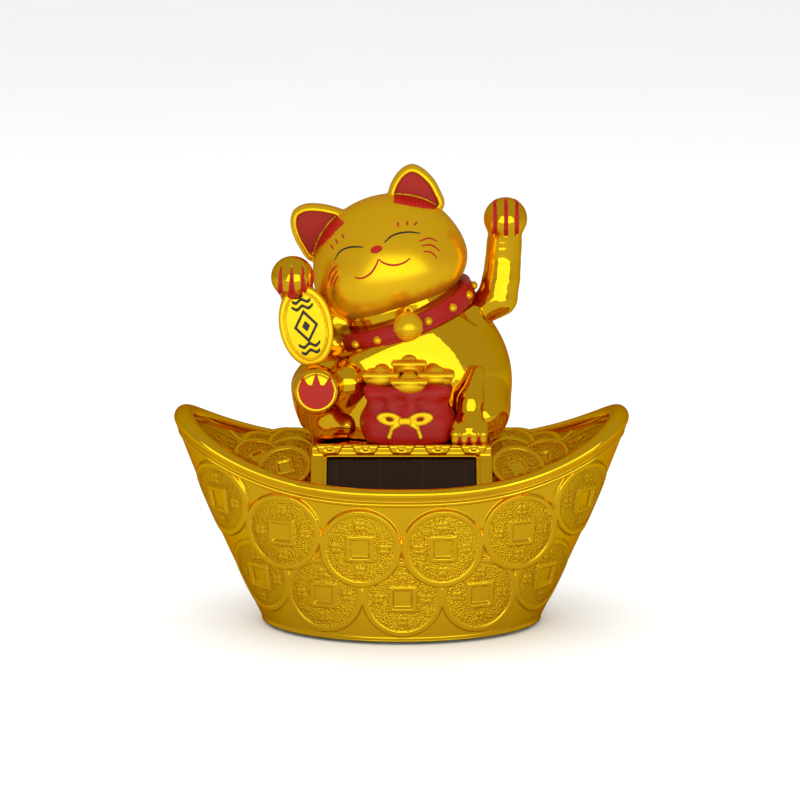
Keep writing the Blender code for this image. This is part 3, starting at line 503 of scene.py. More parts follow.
def rim_line(turns):
    return np.stack([RIM_A * np.cos(turns), RIM_B * np.sin(turns), rim_z(RIM_A * np.cos(turns))], -1)


def rim_profile(tip):
    """The rim's section, as (out, up) from the rim line; tip runs from 0 amidships to 1 at the ends."""
    bead = 1.5 + 1.3 * tip
    out, up = 1.35 - bead, 0.45 - 0.9 * tip
    points = []
    for a in np.linspace(200, -50, 26):
        points.append((out + bead * cos(radians(a)), up + bead * sin(radians(a))))
    points.append((0.62, -1.35 - 1.6 * tip))
    for a in np.linspace(70, -75, 10):
        u, v = 0.35 - 0.8 * tip, -2.25 - 1.9 * tip
        points.append((u + 0.72 * cos(radians(a)), v + 0.72 * sin(radians(a))))
    points += [(-0.25, -3.2 - 1.9 * tip), (-1.2, -3.3 - 1.9 * tip)]
    points += [(-1.9 - 2.2 * tip, -2.2), (-1.75 - 2.4 * tip, -0.8)]
    return np.array(points)


def make_rim():
    turns = np.linspace(0, 2 * pi, 420, endpoint=False)
    line = rim_line(turns)
    out = np.stack([np.cos(turns) / RIM_A, np.sin(turns) / RIM_B, 0 * turns], -1)
    out /= np.linalg.norm(out, axis=-1, keepdims=True)
    rows = []
    for place, way, turn in zip(line, out, turns):
        tip = abs(cos(turn)) ** 6
        profile = rim_profile(tip)
        rows.append([place + way * u + at(0, 0, v) for u, v in profile])
    rim = grid_mesh("rim_moulding", rows, gold, closed=True)
    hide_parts("ingot_deck")


def bowl_point(turn, share):
    """A point of the bowl's upper face: share 1 under the rim and 0 amidships."""
    a, b = RIM_A - 1.6, RIM_B - 1.6
    x_rim = RIM_A * np.cos(turn)
    z = BOWL_LOW + (rim_z(x_rim) - 0.4 - BOWL_LOW) * share**3
    return np.stack([a * share * np.cos(turn), b * share * np.sin(turn), z], -1)


BOWL_COINS = [(s * x, y) for x, y in ((48.5, 0.0), (40.0, 17.0), (40.0, -17.0)) for s in (-1, 1)]


def make_bowl():
    turns = np.linspace(0, 2 * pi, 720, endpoint=False)
    shares = np.linspace(0.999, 0.3, 110)
    t, s = np.meshgrid(turns, shares)
    points = bowl_point(t, s)
    mask = np.zeros(t.shape)
    for cx, cy in BOWL_COINS:
        u, v = points[..., 0] - cx, points[..., 1] - cy
        cover = (1 - step(8.6, np.hypot(u, v), 0.35)) * (1 - step(0.93, s, 0.04))
        rise, field_ = coin_relief(u * 1.28, v * 1.28)
        points[..., 2] += (rise * 0.9) * cover
        mask = np.maximum(mask, field_ * cover)
    under = bowl_point(*np.meshgrid(turns, np.linspace(0.3, 0.97, 8))) - at(0, 0, 1.8)
    rows = np.concatenate([points, under])
    bowl = grid_mesh("bowl_cast", rows, relief_gold, closed=True)
    values = np.zeros(rows.shape[:2])
    values[: len(shares)] = mask
    mark_stipple(bowl, values)


SLOPE_TOP, SLOPE_FOOT = at(0, -18.0, 50.3), at(0, -26.0, 40.4)


def slope_frame():
    up = (SLOPE_TOP - SLOPE_FOOT) / np.linalg.norm(SLOPE_TOP - SLOPE_FOOT)
    across = at(1, 0, 0)
    return (SLOPE_TOP + SLOPE_FOOT) / 2, np.stack([across, up, np.cross(across, up)], -1)


def make_pedestal():
    middle, turn = slope_frame()

    def field(p):
        outer = rounded_box(p, (0, 2.25, 45.4), (24.4, 20.25, 7.8), 0.7)
        ramp = (p - SLOPE_TOP) @ turn[:, 2]
        low = rounded_box(p, (0, -14, 44.0), (24.4, 12.2, 6.4), 0.6)
        low = overlap(low, ramp, 0.5)
        whole = meld(outer, low, 0.6)
        recess = rounded_box(p, middle + turn[:, 2] * 1.2, (20.0, 6.1, 2.6), 0.35, turn)
        lip = rounded_box(p, middle + turn[:, 1] * 0.1, (21.1, 6.9, 0.45), 0.4, turn)
        return carve(meld(whole, lip, 0.3), recess, 0.25)

    block = skin("pedestal_cast", field, (-25, -27.5, 39), (25, 23, 54), 0.45, gold)


def make_trim():
    """The row of petals under the cat: five scallops with a seed in each."""

    def field(p):
        whole = rounded_box(p, (0, -18.2, 53.2), (22.3, 0.6, 0.45), 0.35)
        for i in range(-2, 3):
            x = i * 9.7
            narrow = 0.45 * (53.4 - p[..., 2])
            petal = np.stack([np.abs(p[..., 0] - x) + narrow, p[..., 1], p[..., 2]], -1)
            whole = meld(whole, rounded_box(petal, (0, -18.6, 52.5), (3.7, 0.95, 1.35), 0.7), 0.25)
            whole = carve(whole, ellipsoid(p, (x, -19.7, 52.6), (1.3, 0.45, 0.95)), 0.2)
            whole = meld(whole, ellipsoid(p, (x, -19.3, 52.6), (0.8, 0.35, 0.6)), 0.15)
        return whole

    trim = skin("lotus_petals", field, (-23, -20, 50.3), (23, -16.8, 54), 0.28, gold)
    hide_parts("lotus_trim")


# Each coin of the right-hand heap: its middle, its lean outwards and its turn in degrees, and its radius.
HEAP = (
    (31.5, -13.0, 45.8, 36, 100, 7.3),
    (38.6, -6.0, 46.6, 32, 62, 7.4),
    (30.5, -1.5, 46.8, 26, 110, 7.2),
    (43.6, -0.5, 46.0, 36, 5, 6.8),
    (37.5, 6.5, 46.6, 26, 40, 7.4),
    (30.0, 9.5, 47.4, 20, 95, 7.2),
    (34.0, 17.0, 46.2, 18, 120, 7.0),
)


def coin_rows(radius):
    """Rows of a coin's mesh: the same relief on its upper face, round its edge and a plain back."""
    turns = np.linspace(0, 2 * pi, 96, endpoint=False)
    scale = COIN_R / radius
    rows, masks = [], []
    for r in np.linspace(0.02, 1, 40) * radius:
        u, v = r * np.cos(turns), r * np.sin(turns)
        height, mask = coin_relief(u * scale, v * scale)
        rows.append(np.stack([u, v, height / scale * 1.3 + 0.6], -1))
        masks.append(mask)
    for r, z in ((1.0, 0.3), (0.99, -0.8), (0.96, -1.0), (0.02, -1.0)):
        rows.append(np.stack([r * radius * np.cos(turns), r * radius * np.sin(turns), 0 * turns + z], -1))
        masks.append(0 * turns)
    return np.array(rows), np.array(masks)


def make_heaps():
    for name, node, side in (("coins_left", "coin_heap_left", -1), ("coins_right", "coin_heap_right", 1)):
        points, faces, marks = [], [], []
        for x, y, z, lean, turn, radius in HEAP:
            rows, masks = coin_rows(radius)
            frame_ = turned([(turn * side, "Z"), (-lean * side, "Y"), (20, "Z")])
            rows = rows @ frame_.T + at(x * side, y, z)
            n, m = rows.shape[:2]
            index = np.arange(n * m).reshape(n, m) + sum(len(p) for p in points)
            low, high = index[:-1], index[1:]
            quads = np.stack([low, np.roll(low, -1, 1), np.roll(high, -1, 1), high], -1)
            points.append(rows.reshape(-1, 3))
            faces.append(quads.reshape(-1, 4))
            marks.append(masks.ravel())
        heap = new_object(name, np.concatenate(points), np.concatenate(faces)[:, ::-1], relief_gold)
        mark_stipple(heap, np.concatenate(marks))
        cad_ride(heap)
        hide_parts(node)


# ---------------------------------------------------------------- the cat

SHAFT = (4.0, 86.5)  # the arm's axis, as Y and Z
CAT_FLOOR, FOOT_FLOOR = 53.4, 53.5
EAR_LEAN, EAR_MIDDLE = 0.10, 12
COLLAR_AT, COLLAR_TURN = at(1.0, 3.0, 86.0), turned([(-21.9, "Y"), (7, "X")])
HEAD_AT, HEAD_TURN = at(-3.6, 2.5, 101.0), turned([(-18, "Y")])


def body_field(p):
    """A round-bottomed egg with an upright chest, shoulder, haunch, thigh, neck and shallow arm socket."""
    rise = p[..., 2] - 66.0
    half_width = 30.5 * np.sqrt(np.clip(1 - (rise / 29.3) ** 2, 0.01, 1))
    upright = step(5.0, -p[..., 1], 14.0)
    half_depth = 19.0 * np.sqrt(np.clip(1 - np.abs(rise / 29.6) ** (2.1 + 2.3 * upright), 0.01, 1))
    far = np.hypot(p[..., 0] / half_width, (p[..., 1] - 6.0) / half_depth)
    whole = (far - 1) * np.minimum(half_width, half_depth)
    whole = overlap(whole, rise - 27.5, 3.0)
    shoulder = limb(p, (9, 4, 83.5), (19.5, 4, 86.3), 6.5, 5.2)
    whole = meld(whole, shoulder, 3.0)
    haunch = ellipsoid(p, (21.5, -1.0, 59.5), (8.2, 11.5, 8.6))
    whole = meld(whole, haunch, 2.5)
    thigh = limb(p, (-19, -3, 60), (-14.5, -10.0, 69.5), 6.6, 5.4)
    whole = meld(whole, thigh, 1.6)
    q = local(p, COLLAR_AT, COLLAR_TURN)
    whole = overlap(whole, q[..., 2] + 1.2, 2.6 + 7.0 * np.clip((p[..., 1] + 5) / 15, 0, 1))
    tube = np.hypot(q[..., 0] / 16.6, q[..., 1] / 13.4) * 13.4 - 13.4
    neck = overlap(tube, np.abs(q[..., 2] - 1.0) - 5.6, 1.5)
    whole = meld(whole, neck, 0.4)
    whole = overlap(whole, CAT_FLOOR - p[..., 2], 0.5)
    socket = np.maximum(np.hypot(p[..., 1] - SHAFT[0], p[..., 2] - SHAFT[1]) - 4.7, 19.0 - p[..., 0])
    return carve(whole, socket, 0.35)


def head_ball(q):
    ball = ellipsoid(q, (-0.2, 0, 0.4), (20.3, 16.8, 17.0))
    cheeks = ellipsoid(q, (-0.2, -0.6, -4.2), (20.0, 14.6, 10.6))
    return meld(ball, cheeks, 6.0)


EARS = (  # outlines in the head's frame, from the front
    ((3.4, 11.5), (5.2, 16.6), (8.2, 20.4), (11.8, 22.4), (14.9, 22.0),
     (17.6, 18.6), (19.0, 14.0), (18.6, 8.6), (11, 7.0)),
    ((-3.4, 11.5), (-6.6, 15.4), (-11.4, 19.0), (-16.6, 21.0), (-20.6, 20.2),
     (-22.4, 16.6), (-22.2, 11.0), (-19.8, 5.4), (-11, 6.0)),
)


def outline_distance(u, v, points):
    """Signed distance from u, v to a smooth closed outline."""
    loop = np.array([*points, *points[:3]], float)
    line = np.array([
        curve_point(a, b, c, d, t)
        for a, b, c, d in zip(loop, loop[1:], loop[2:], loop[3:])
        for t in np.linspace(0, 1, 6, endpoint=False)
    ])
    nearest, crossings = np.full(u.shape, 1e9), np.zeros(u.shape, int)
    for a, b in zip(line, np.roll(line, -1, 0)):
        e = b - a
        share = np.clip(((u - a[0]) * e[0] + (v - a[1]) * e[1]) / (e @ e), 0, 1)
        nearest = np.minimum(nearest, (u - a[0] - share * e[0]) ** 2 + (v - a[1] - share * e[1]) ** 2)
        spans = (a[1] > v) != (b[1] > v)
        crossings += spans & (u < a[0] + (v - a[1]) / (e[1] if e[1] else 1e-9) * e[0])
    return np.where(crossings % 2 == 1, -1, 1) * np.sqrt(nearest)


def ear_field(q, outline):
    d = outline_distance(q[..., 0], q[..., 2], outline)
    y = q[..., 1] + EAR_LEAN * (q[..., 2] - EAR_MIDDLE)
    plate = overlap(d, np.abs(y - 0.4) - 2.9, 1.6)
    dish = overlap(d + 1.7, y + 1.1, 0.5)
    return carve(plate, dish, 0.35), d


def head_field(p, ears=True):
    q = local(p, HEAD_AT, HEAD_TURN)
    whole = head_ball(q)
    if ears:
        for outline in EARS:
            whole = meld(whole, ear_field(q, outline)[0], 0.5)
    return whole


def make_body():
    body = skin("body_shell", body_field, (-33, -20, 52.5), (33, 28, 96), 0.55, gold)
    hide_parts("body_front_shell", "body_back_shell")


def make_head():
    head = skin("head_shell", head_field, (-33, -16, 82), (21, 22, 128), 0.42, satin)
    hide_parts("head_front_shell", "head_back_shell")
    lows = (((5.0, 15.6), (16.2, 9.4)), ((-17.6, 8.6), (-9.2, 13.2)))
    for name, outline, low in zip(("ear_lining_right", "ear_lining_left"), EARS, lows):

        def lining(p, outline=outline, low=low):
            q = local(p, HEAD_AT, HEAD_TURN)
            d = outline_distance(q[..., 0], q[..., 2], outline)
            dish = q[..., 1] + EAR_LEAN * (q[..., 2] - EAR_MIDDLE)
            front = np.maximum(d + 1.75, dish - 1.5)
            (u0, v0), (u1, v1) = low
            way = at(v1 - v0, u0 - u1) / np.hypot(v1 - v0, u0 - u1)
            below = (q[..., 0] - u0) * way[0] + (q[..., 2] - v0) * way[1]
            crease = 0.3 - np.hypot(head_ball(q), dish + 1.1)
            front = np.maximum(np.maximum(front, below), crease)
            return overlap(head_field(p) - 0.07, front, 0.1)

        mid = HEAD_TURN @ at(np.mean([o[0] for o in outline]), 0, 14) + HEAD_AT
        piece = skin(name, lining, mid - at(12, 13, 11), mid + at(12, 5, 11), 0.25, brush_red)


def make_face():
    """The painted face: shut eyes, brow flicks, whiskers and a smile, all in fine brush strokes."""
    eyes = [[(-18.0, 102.3), (-16.6, 104.6), (-14.4, 105.9), (-12.2, 106.3), (-10.2, 106.3)],
            [(-4.6, 107.6), (-2.8, 109.2), (-0.6, 110.0), (2.2, 110.2), (5.0, 109.8)]]
    brows = [[(-19.2, 106.1), (-18.2, 105.1)], [(-17.8, 107.7), (-17.0, 106.6)],
             [(-16.0, 109.1), (-15.4, 108.1)], [(-0.9, 111.6), (-1.0, 112.8)],
             [(1.4, 111.8), (1.6, 112.9)], [(3.4, 111.8), (4.2, 112.7)]]
    whiskers = [[(-17.3, 101.1), (-19.0, 98.9), (-19.7, 96.6)], [(-17.2, 99.7), (-18.4, 97.5), (-19.1, 95.4)],
                [(-17.0, 98.3), (-17.8, 96.6), (-18.2, 95.0)], [(4.6, 107.8), (7.4, 108.4), (9.6, 107.4)],
                [(5.2, 106.6), (8.0, 106.6), (10.4, 104.8)], [(5.8, 105.2), (8.0, 104.7), (9.6, 103.0)]]
    mouth = [[(-12.6, 98.2), (-10.4, 98.2), (-8.2, 99.6), (-6.7, 101.9), (-6.2, 103.4)],
             [(-6.2, 103.4), (-4.6, 102.3), (-2.0, 101.8), (0.6, 102.4), (2.4, 103.6)]]
    paint_on("eye_lines", head_field, eyes, black, 0.52)
    paint_on("brow_flicks", head_field, brows, brush_red, 0.55)
    paint_on("whisker_lines", head_field, whiskers, brush_red, 0.5)
    paint_on("mouth_line", head_field, mouth, brush_red, 0.56)

    def nose(p):
        tilt = turned([(-18, "Y")])
        spot = ellipsoid(p, (-6.75, -14.4, 105.9), (1.75, 3.0, 1.0), tilt)
        return overlap(head_field(p, ears=False) - 0.16, spot, 0.15)

    skin("nose_paint", nose, (-9.2, -17, 104), (-4.4, -10, 108), 0.16, brush_red)


def make_collar():
    turns = np.linspace(0, 2 * pi, 200, endpoint=False)
    profile = [(16.0, -2.3), (17.4, -2.7), (19.3, -2.75), (19.75, -2.5), (19.95, -2.0), (19.75, -1.6),
               (20.0, -1.2), (20.15, 0), (20.0, 1.2), (19.75, 1.6), (19.95, 2.0), (19.75, 2.5), (19.3, 2.75),
               (17.4, 2.7), (14.0, 2.3), (13.6, 0)]
    rows = []
    for t in turns:
        ring = [at(r * cos(t), (r - 3.2) * sin(t), z) for r, z in profile]
        rows.append(np.array(ring) @ COLLAR_TURN.T + COLLAR_AT)
    band = grid_mesh("collar_band", rows, red, closed=True)
    band.modifiers.new("smooth", "SUBSURF").levels = 1
    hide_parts("collar")

    def studs(p):
        q = local(p, COLLAR_AT, COLLAR_TURN)
        turns = [radians(degrees) for degrees in (*range(-160, -100, 22), *range(-73, 190, 24))]
        return nearest_of(ellipsoid(q, (20.0 * cos(t), 16.8 * sin(t), 0), (1.2, 1.2, 1.2)) for t in turns)

    skin("collar_studs", studs, (-21, -17, 76), (23, 21, 96), 0.3, satin)


BELL_AT = (1.8, -16.6, 85.6)


def make_bell():
    def bell(p):
        ball = ellipsoid(p, BELL_AT, (3.95, 3.75, 3.95))
        q = p - at(*BELL_AT)
        belt = np.hypot(np.hypot(q[..., 0], q[..., 1]) - 3.8, q[..., 2] + 0.9) - 0.28
        whole = meld(ball, belt, 0.25)
        mouth = rounded_box(q, (0, -3.2, -2.7), (1.5, 1.6, 0.26), 0.2)
        whole = carve(whole, mouth, 0.2)
        loop = np.hypot(np.hypot(q[..., 0], q[..., 2] - 4.2) - 0.9, q[..., 1]) - 0.42
        return meld(whole, loop, 0.3)

    piece = skin("bell_cast", bell, (-3, -21, 81), (7, -12, 91.5), 0.22, satin)
    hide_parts("bell")


PLAQUE_AT, PLAQUE_TURN = at(-25.6, -11.6, 84.9), turned([(-10.5, "Y")])


def plaque_field(p):
    q = local(p, PLAQUE_AT, PLAQUE_TURN)
    u, v = q[..., 0] / 7.25, q[..., 2] / 11.3
    r = np.hypot(u, v)
    d = (r - 1) * 7.25 * (1 + 0.3 * np.abs(v))
    slab_ = overlap(d, np.abs(q[..., 1]) - 1.3, 0.9)
    dish = overlap(d + 1.5, q[..., 1] + 1.02, 0.3)
    return carve(slab_, dish, 0.2)


def make_plaque():
    piece = skin("coin_plaque_cast", plaque_field, (-35, -13.5, 72.5), (-16.5, -9.8, 97.5), 0.3, satin)
    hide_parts("coin_plaque")

    def ridge(p):
        q = local(p, PLAQUE_AT, PLAQUE_TURN)
        d = (np.hypot(q[..., 0] / 5.25, q[..., 2] / 9.2) - 1) * 5.25
        return np.hypot(d, q[..., 1] + 1.05) - 0.2

    skin("plaque_ridge", ridge, (-33, -13.3, 74), (-18, -11.5, 95.5), 0.22, gold)

    def motif(p):
        q = local(p, PLAQUE_AT, PLAQUE_TURN)
        u, v = q[..., 0], q[..., 2]
        whole = np.abs(np.abs(u) + np.abs(v) * 0.72 - 2.9) - 0.42
        whole = np.minimum(whole, np.abs(u) + np.abs(v) * 0.72 - 1.1)
        for z in (7.0, 5.2, -5.2, -7.0):
            reach = 3.3 - 0.22 * (abs(z) - 3.5)
            wave = np.abs(v - z - 0.42 * np.cos(u * 2.0)) - 0.42
            whole = np.minimum(whole, np.maximum(wave, np.abs(u) - reach))
        return overlap(whole, np.abs(q[..., 1] + 1.15) - 0.32, 0.18)

    skin("plaque_motif", motif, (-31, -13.4, 75), (-20, -11.2, 94), 0.2, black)


PAW_AT, PAW_SIZE = (-29.2, -10.4, 97.9), (5.8, 5.2, 5.7)
PAW_GROOVES = (-32.3, -29.3, -26.3)


def paw_line(middle, size, x, low, high, first, last, sink=0.0):
    """A line down a paw's front at x, as (x, y, z, radius) points lying on the ball."""
    points = []
    for share in np.linspace(0, 1, 6):
        z = low + (high - low) * share
        left = max(1 - ((x - middle[0]) / size[0]) ** 2 - ((z - middle[2]) / size[2]) ** 2, 0.02)
        points.append((x, middle[1] - size[1] * left**0.5 + sink, z, first + (last - first) * share))
    return points


def grooved(p, whole, middle, size, places, low, high):
    """Presses shallow grooves between the toes."""
    for x in places:
        whole = carve(whole, chain(p, paw_line(middle, size, x, low, high, 0.4, 0.2), 0.2), 0.5)
    return whole


def holding_paw(p):
    arm = chain(p, [(-17, 3, 76, 6.2), (-23.5, 0, 81, 5.2), (-26.5, -4.5, 88, 4.8),
                    (-28.5, -8.5, 94.5, 4.6)], 1.5)
    arm = meld(arm, limb(p, (-13, 4, 81.5), (-22.5, 0, 86.5), 5.6, 4.2), 2.0)
    whole = meld(arm, ellipsoid(p, PAW_AT, PAW_SIZE), 1.2)
    return grooved(p, whole, PAW_AT, PAW_SIZE, PAW_GROOVES, 93.4, 101.4)


def make_holding_arm():
    arm = skin("holding_arm_cast", holding_paw, (-36, -17.5, 68), (-6, 11, 104.5), 0.36, gold)
    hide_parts("holding_arm")

    def claws(p):
        lines = [paw_line(PAW_AT, PAW_SIZE, x, 93.2, 101.0, 1.15, 0.2, 0.3) for x in (*PAW_GROOVES, -24.2)]
        return overlap(holding_paw(p) - 0.1, nearest_of(chain(p, line, 0.2) for line in lines), 0.1)

    skin("holding_claws", claws, (-34, -17.5, 92), (-22, -12, 101), 0.2, brush_red)


SOLE_AT = (-22.8, -15.6, 68.2)


def raised_foot(p):
    """A foot seen sole on: a thick disc with a rounded edge, on a short bent leg."""
    far = np.hypot(p[..., 0] - SOLE_AT[0], p[..., 2] - SOLE_AT[2])
    foot = overlap(far - 6.4, np.abs(p[..., 1] - SOLE_AT[1]) - 3.9, 2.6)
    dish = overlap(far - 4.9, p[..., 1] - SOLE_AT[1] + 3.55, 0.5)
    foot = carve(foot, dish, 0.4)
    ankle = chain(p, [(-22.2, -12.0, 65, 4.6), (-20.5, -9.5, 58.0, 4.8), (-15.5, -8.0, 57.2, 4.4)], 1.6)
    return overlap(meld(foot, ankle, 1.2), FOOT_FLOOR - p[..., 2], 0.4)


def make_raised_foot():
    foot = skin("right_foot_cast", raised_foot, (-30, -21, 52.5), (-9, -3, 76), 0.36, gold)
    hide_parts("right_foot")

    def pad(p):
        u, v = p[..., 0] - SOLE_AT[0], p[..., 2] - SOLE_AT[2]
        round_ = np.hypot(u, v) - 4.75
        top = v - 1.9
        whole = np.maximum(round_, top)
        for x in (-3.6, 0.0, 3.6):
            tip = (x * 1.02, 0, 5.2 - abs(x) * 0.28)
            toe = limb(np.stack([u, 0 * u, v], -1), (x * 0.9, 0, 1.4), tip, 1.35, 0.12)
            whole = np.minimum(whole, toe)
        return overlap(raised_foot(p) - 0.09, np.maximum(whole, p[..., 1] + 17.5), 0.1)

    skin("sole_paint", pad, (-29, -21, 61), (-16, -14, 76), 0.22, brush_red)


def left_leg(p):
    shin = chain(p, [(20.6, -9.5, 71.5, 2.0), (18.6, -12.0, 64.5, 3.3), (18.2, -13.4, 58.0, 4.0)], 1.6)
    foot = ellipsoid(p, (18.2, -15.2, 57.2), (5.2, 4.4, 4.1))
    whole = meld(shin, foot, 1.2)
    for x in (14.4, 16.8, 19.4, 21.9):
        toe = chain(p, [(x, -16.6, 58.6, 1.3), (x, -18.4, 56.6, 1.4), (x, -18.6, 54.9, 1.2)], 0.4)
        whole = meld(whole, toe, 0.4)
    return overlap(whole, FOOT_FLOOR - p[..., 2], 0.3)


def make_left_leg():
    leg = skin("left_foot_cast", left_leg, (11.5, -20.5, 53), (25, -5, 75), 0.3, gold)
    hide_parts("left_foot")

    def claws(p):
        wedges = [limb(p, (x, -19.5, 53.9), (x, -18.0, 58.3), 0.95, 0.15) for x in (15.6, 18.1, 20.7)]
        return overlap(left_leg(p) - 0.1, nearest_of(wedges), 0.1)

    skin("left_claws", claws, (13, -21, 53), (23, -15, 60), 0.2, brush_red)


BAG_AT = at(1.7, -13.0, 0)


def bag_field(p):
    """A full sack: a round belly, a drawn neck with folds and a wavy mouth."""
    q = p - BAG_AT
    around = np.arctan2(q[..., 1] * 1.9, q[..., 0])
    folds = 0.34 * np.cos(13 * around + 0.5) * np.exp(-(((q[..., 2] - 65.0) / 2.4) ** 2))
    wave = 0.5 * np.cos(7 * around) * np.exp(-(((q[..., 2] - 68.8) / 1.6) ** 2))
    lower = ellipsoid(p, BAG_AT + at(0, 0, 59.0), (13.0, 6.9, 8.6))
    lower = meld(lower, rounded_box(p, BAG_AT + at(0, 0, 57.6), (11.6, 6.0, 4.8), 3.6), 2.0)
    upper = rounded_box(p, BAG_AT + at(0, 0, 67.6), (11.6, 6.1, 2.0), 1.9)
    neck = rounded_box(p, BAG_AT + at(0, 0, 64.6), (10.4, 5.2, 2.6), 2.0)
    whole = meld(meld(lower, neck, 1.6), upper, 1.4) - folds - wave
    whole = overlap(whole, p[..., 1] + 9.8, 0.6)
    return overlap(whole, CAT_FLOOR - p[..., 2], 0.6)


# Each little ingot on the bag: its middle, and its length as a share of the usual one.
BAG_INGOTS = (
    (-5.6, -14.2, 71.6, 1.0),
    (9.2, -14.2, 71.6, 1.0),
    (2.0, -12.2, 74.4, 0.95),
    (2.0, -17.2, 70.4, 1.0),
)


def ingot_field(p, x, y, z, size):
    boat = ellipsoid(p, (x, y, z - 0.6), (4.6 * size, 3.0, 2.6))
    brim = rounded_box(p, (x, y, z + 0.5), (5.1 * size, 3.0, 0.75), 0.74)
    cup = ellipsoid(p, (x, y, z + 2.6), (4.1 * size, 2.3, 2.0))
    hollow = carve(meld(boat, brim, 0.5), cup, 0.3)
    return meld(hollow, ellipsoid(p, (x, y, z + 0.9), (2.4, 1.9, 2.0)), 0.4)


def make_bag():
    bag = skin("money_bag_cast", bag_field, (-12, -21, 52.8), (15.5, -5.5, 71), 0.34, red)
    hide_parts("money_bag")

    def ingots(p):
        return nearest_of(ingot_field(p, *ingot) for ingot in BAG_INGOTS)

    heap = skin("bag_ingots_cast", ingots, (-12.5, -21.5, 67.5), (15.5, -7, 78.5), 0.26, satin)
    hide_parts("bag_ingots")

    def bow(p):
        x0, y0, z0 = 0.9, -20.0, 60.4
        whole = rounded_box(p, (x0, y0, z0), (1.7, 0.75, 0.95), 0.5)
        for side in (-1, 1):
            loop = np.stack([p[..., 0] - x0 - side * 4.1, p[..., 1] - y0 - 0.1, p[..., 2] - z0 - 0.55], -1)
            loop = loop @ turned([(-side * 10, "Y")])
            d = (np.hypot(loop[..., 0] / 2.2, loop[..., 2] / 1.15) - 1) * 1.4
            whole = meld(whole, np.hypot(np.maximum(np.abs(d) - 0.32, 0), loop[..., 1]) - 0.55, 0.3)
            tail = [(x0 + side * 0.8, y0, z0 - 0.6, 0.55), (x0 + side * 3.4, y0 + 0.1, z0 - 2.0, 0.6),
                    (x0 + side * 4.2, y0 + 0.2, z0 - 4.4, 0.65)]
            whole = meld(whole, chain(p, tail, 0.4), 0.3)
        return whole

    tied = skin("bow_cast", bow, (-7.8, -21.4, 55), (9.4, -18.4, 63.2), 0.2, satin)
    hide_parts("bag_bow")


WAVE_AT, WAVE_SIZE = (28.2, 2.2, 111.9), (5.9, 5.3, 5.8)
WAVE_GROOVES = (25.3, 28.2, 31.1)


def waving_arm(p):
    y = SHAFT[0]
    arm = chain(p, [(19.6, y, 86.5, 3.4), (22.4, y, 86.8, 3.6), (26.2, y, 90.0, 4.95), (27.3, y, 95.5, 4.5),
                    (27.7, y, 100.5, 4.2), (28.0, y - 0.4, 105.2, 4.1), (28.2, y - 1.2, 109.0, 4.2)], 2.6)
    whole = meld(arm, ellipsoid(p, WAVE_AT, WAVE_SIZE), 1.2)
    return grooved(p, whole, WAVE_AT, WAVE_SIZE, WAVE_GROOVES, 108.0, 117.0)


def make_waving_arm():
    arm = skin("waving_arm_cast", waving_arm, (18.5, -5.5, 81.5), (35, 10, 118), 0.34, gold, body="arm")
    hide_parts("arm_front_shell", "arm_back_shell")

    def claws(p):
        lines = [paw_line(WAVE_AT, WAVE_SIZE, x, 107.2, 117.2, 0.72, 0.6, 0.4) for x in WAVE_GROOVES]
        return overlap(waving_arm(p) - 0.12, nearest_of(chain(p, line, 0.2) for line in lines), 0.1)

    skin("waving_claws", claws, (24, -6, 108), (33, 2, 118.5), 0.2, brush_red, body="arm")


# ---------------------------------------------------------------- the carried-over CAD nodes

PLAIN = {
    "base_plate": ("base_black", (0.018, 0.018, 0.018), (0.03, 0.03, 0.03), 0.5, 0.0),
    "rubber_foot": ("foot_rubber", (0.02, 0.02, 0.02), (0.035, 0.035, 0.035), 0.85, 0.0),
    "circuit_board": ("board_mask", (0.012, 0.10, 0.03), (0.02, 0.14, 0.045), 0.35, 0.0),
    "coil_bobbin": ("bobbin_black", (0.015, 0.015, 0.015), (0.03, 0.03, 0.03), 0.45, 0.0),
    "drive_coil": ("coil_copper", (0.62, 0.24, 0.09), (0.5, 0.18, 0.07), 0.3, 1.0),
    "capacitor": ("capacitor_sleeve", (0.01, 0.012, 0.02), (0.02, 0.02, 0.03), 0.4, 0.0),
    "driver_chip": ("chip_resin", (0.012, 0.012, 0.013), (0.02, 0.02, 0.02), 0.55, 0.0),
    "swing_frame": ("frame_grey", (0.32, 0.32, 0.30), (0.38, 0.38, 0.36), 0.45, 0.0),
    "pendulum_magnet": ("magnet_nickel", (0.55, 0.54, 0.52), (0.48, 0.47, 0.46), 0.25, 1.0),
    "pendulum": ("lever_black", (0.02, 0.02, 0.02), (0.035, 0.035, 0.035), 0.45, 0.0),
    "arm_shaft": ("shaft_steel", (0.56, 0.56, 0.57), (0.5, 0.5, 0.5), 0.22, 1.0),
    "solar_lead_red": ("lead_red", (0.45, 0.02, 0.02), (0.36, 0.015, 0.015), 0.45, 0.0),
    "solar_lead_black": ("lead_black", (0.012, 0.012, 0.012), (0.02, 0.02, 0.02), 0.45, 0.0),
    "screw": ("screw_steel", (0.5, 0.5, 0.5), (0.42, 0.42, 0.42), 0.3, 1.0),
}


def dress_frame():
    """Gives every CAD node that still shows its own procedural material."""
    made = {}
    for key, (name, colour, deeper, rough, metallic) in PLAIN.items():
        made[key] = coated(name, colour, deeper, rough, metallic=metallic, ripple=0.15, grain=900)
    made["solar_cell"] = cell_glass()
    for node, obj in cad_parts.items():
        for key in sorted(made, key=len, reverse=True):
            if key in node:
                obj.data.materials.clear()
                obj.data.materials.append(made[key])
                break


# ---------------------------------------------------------------- the studio


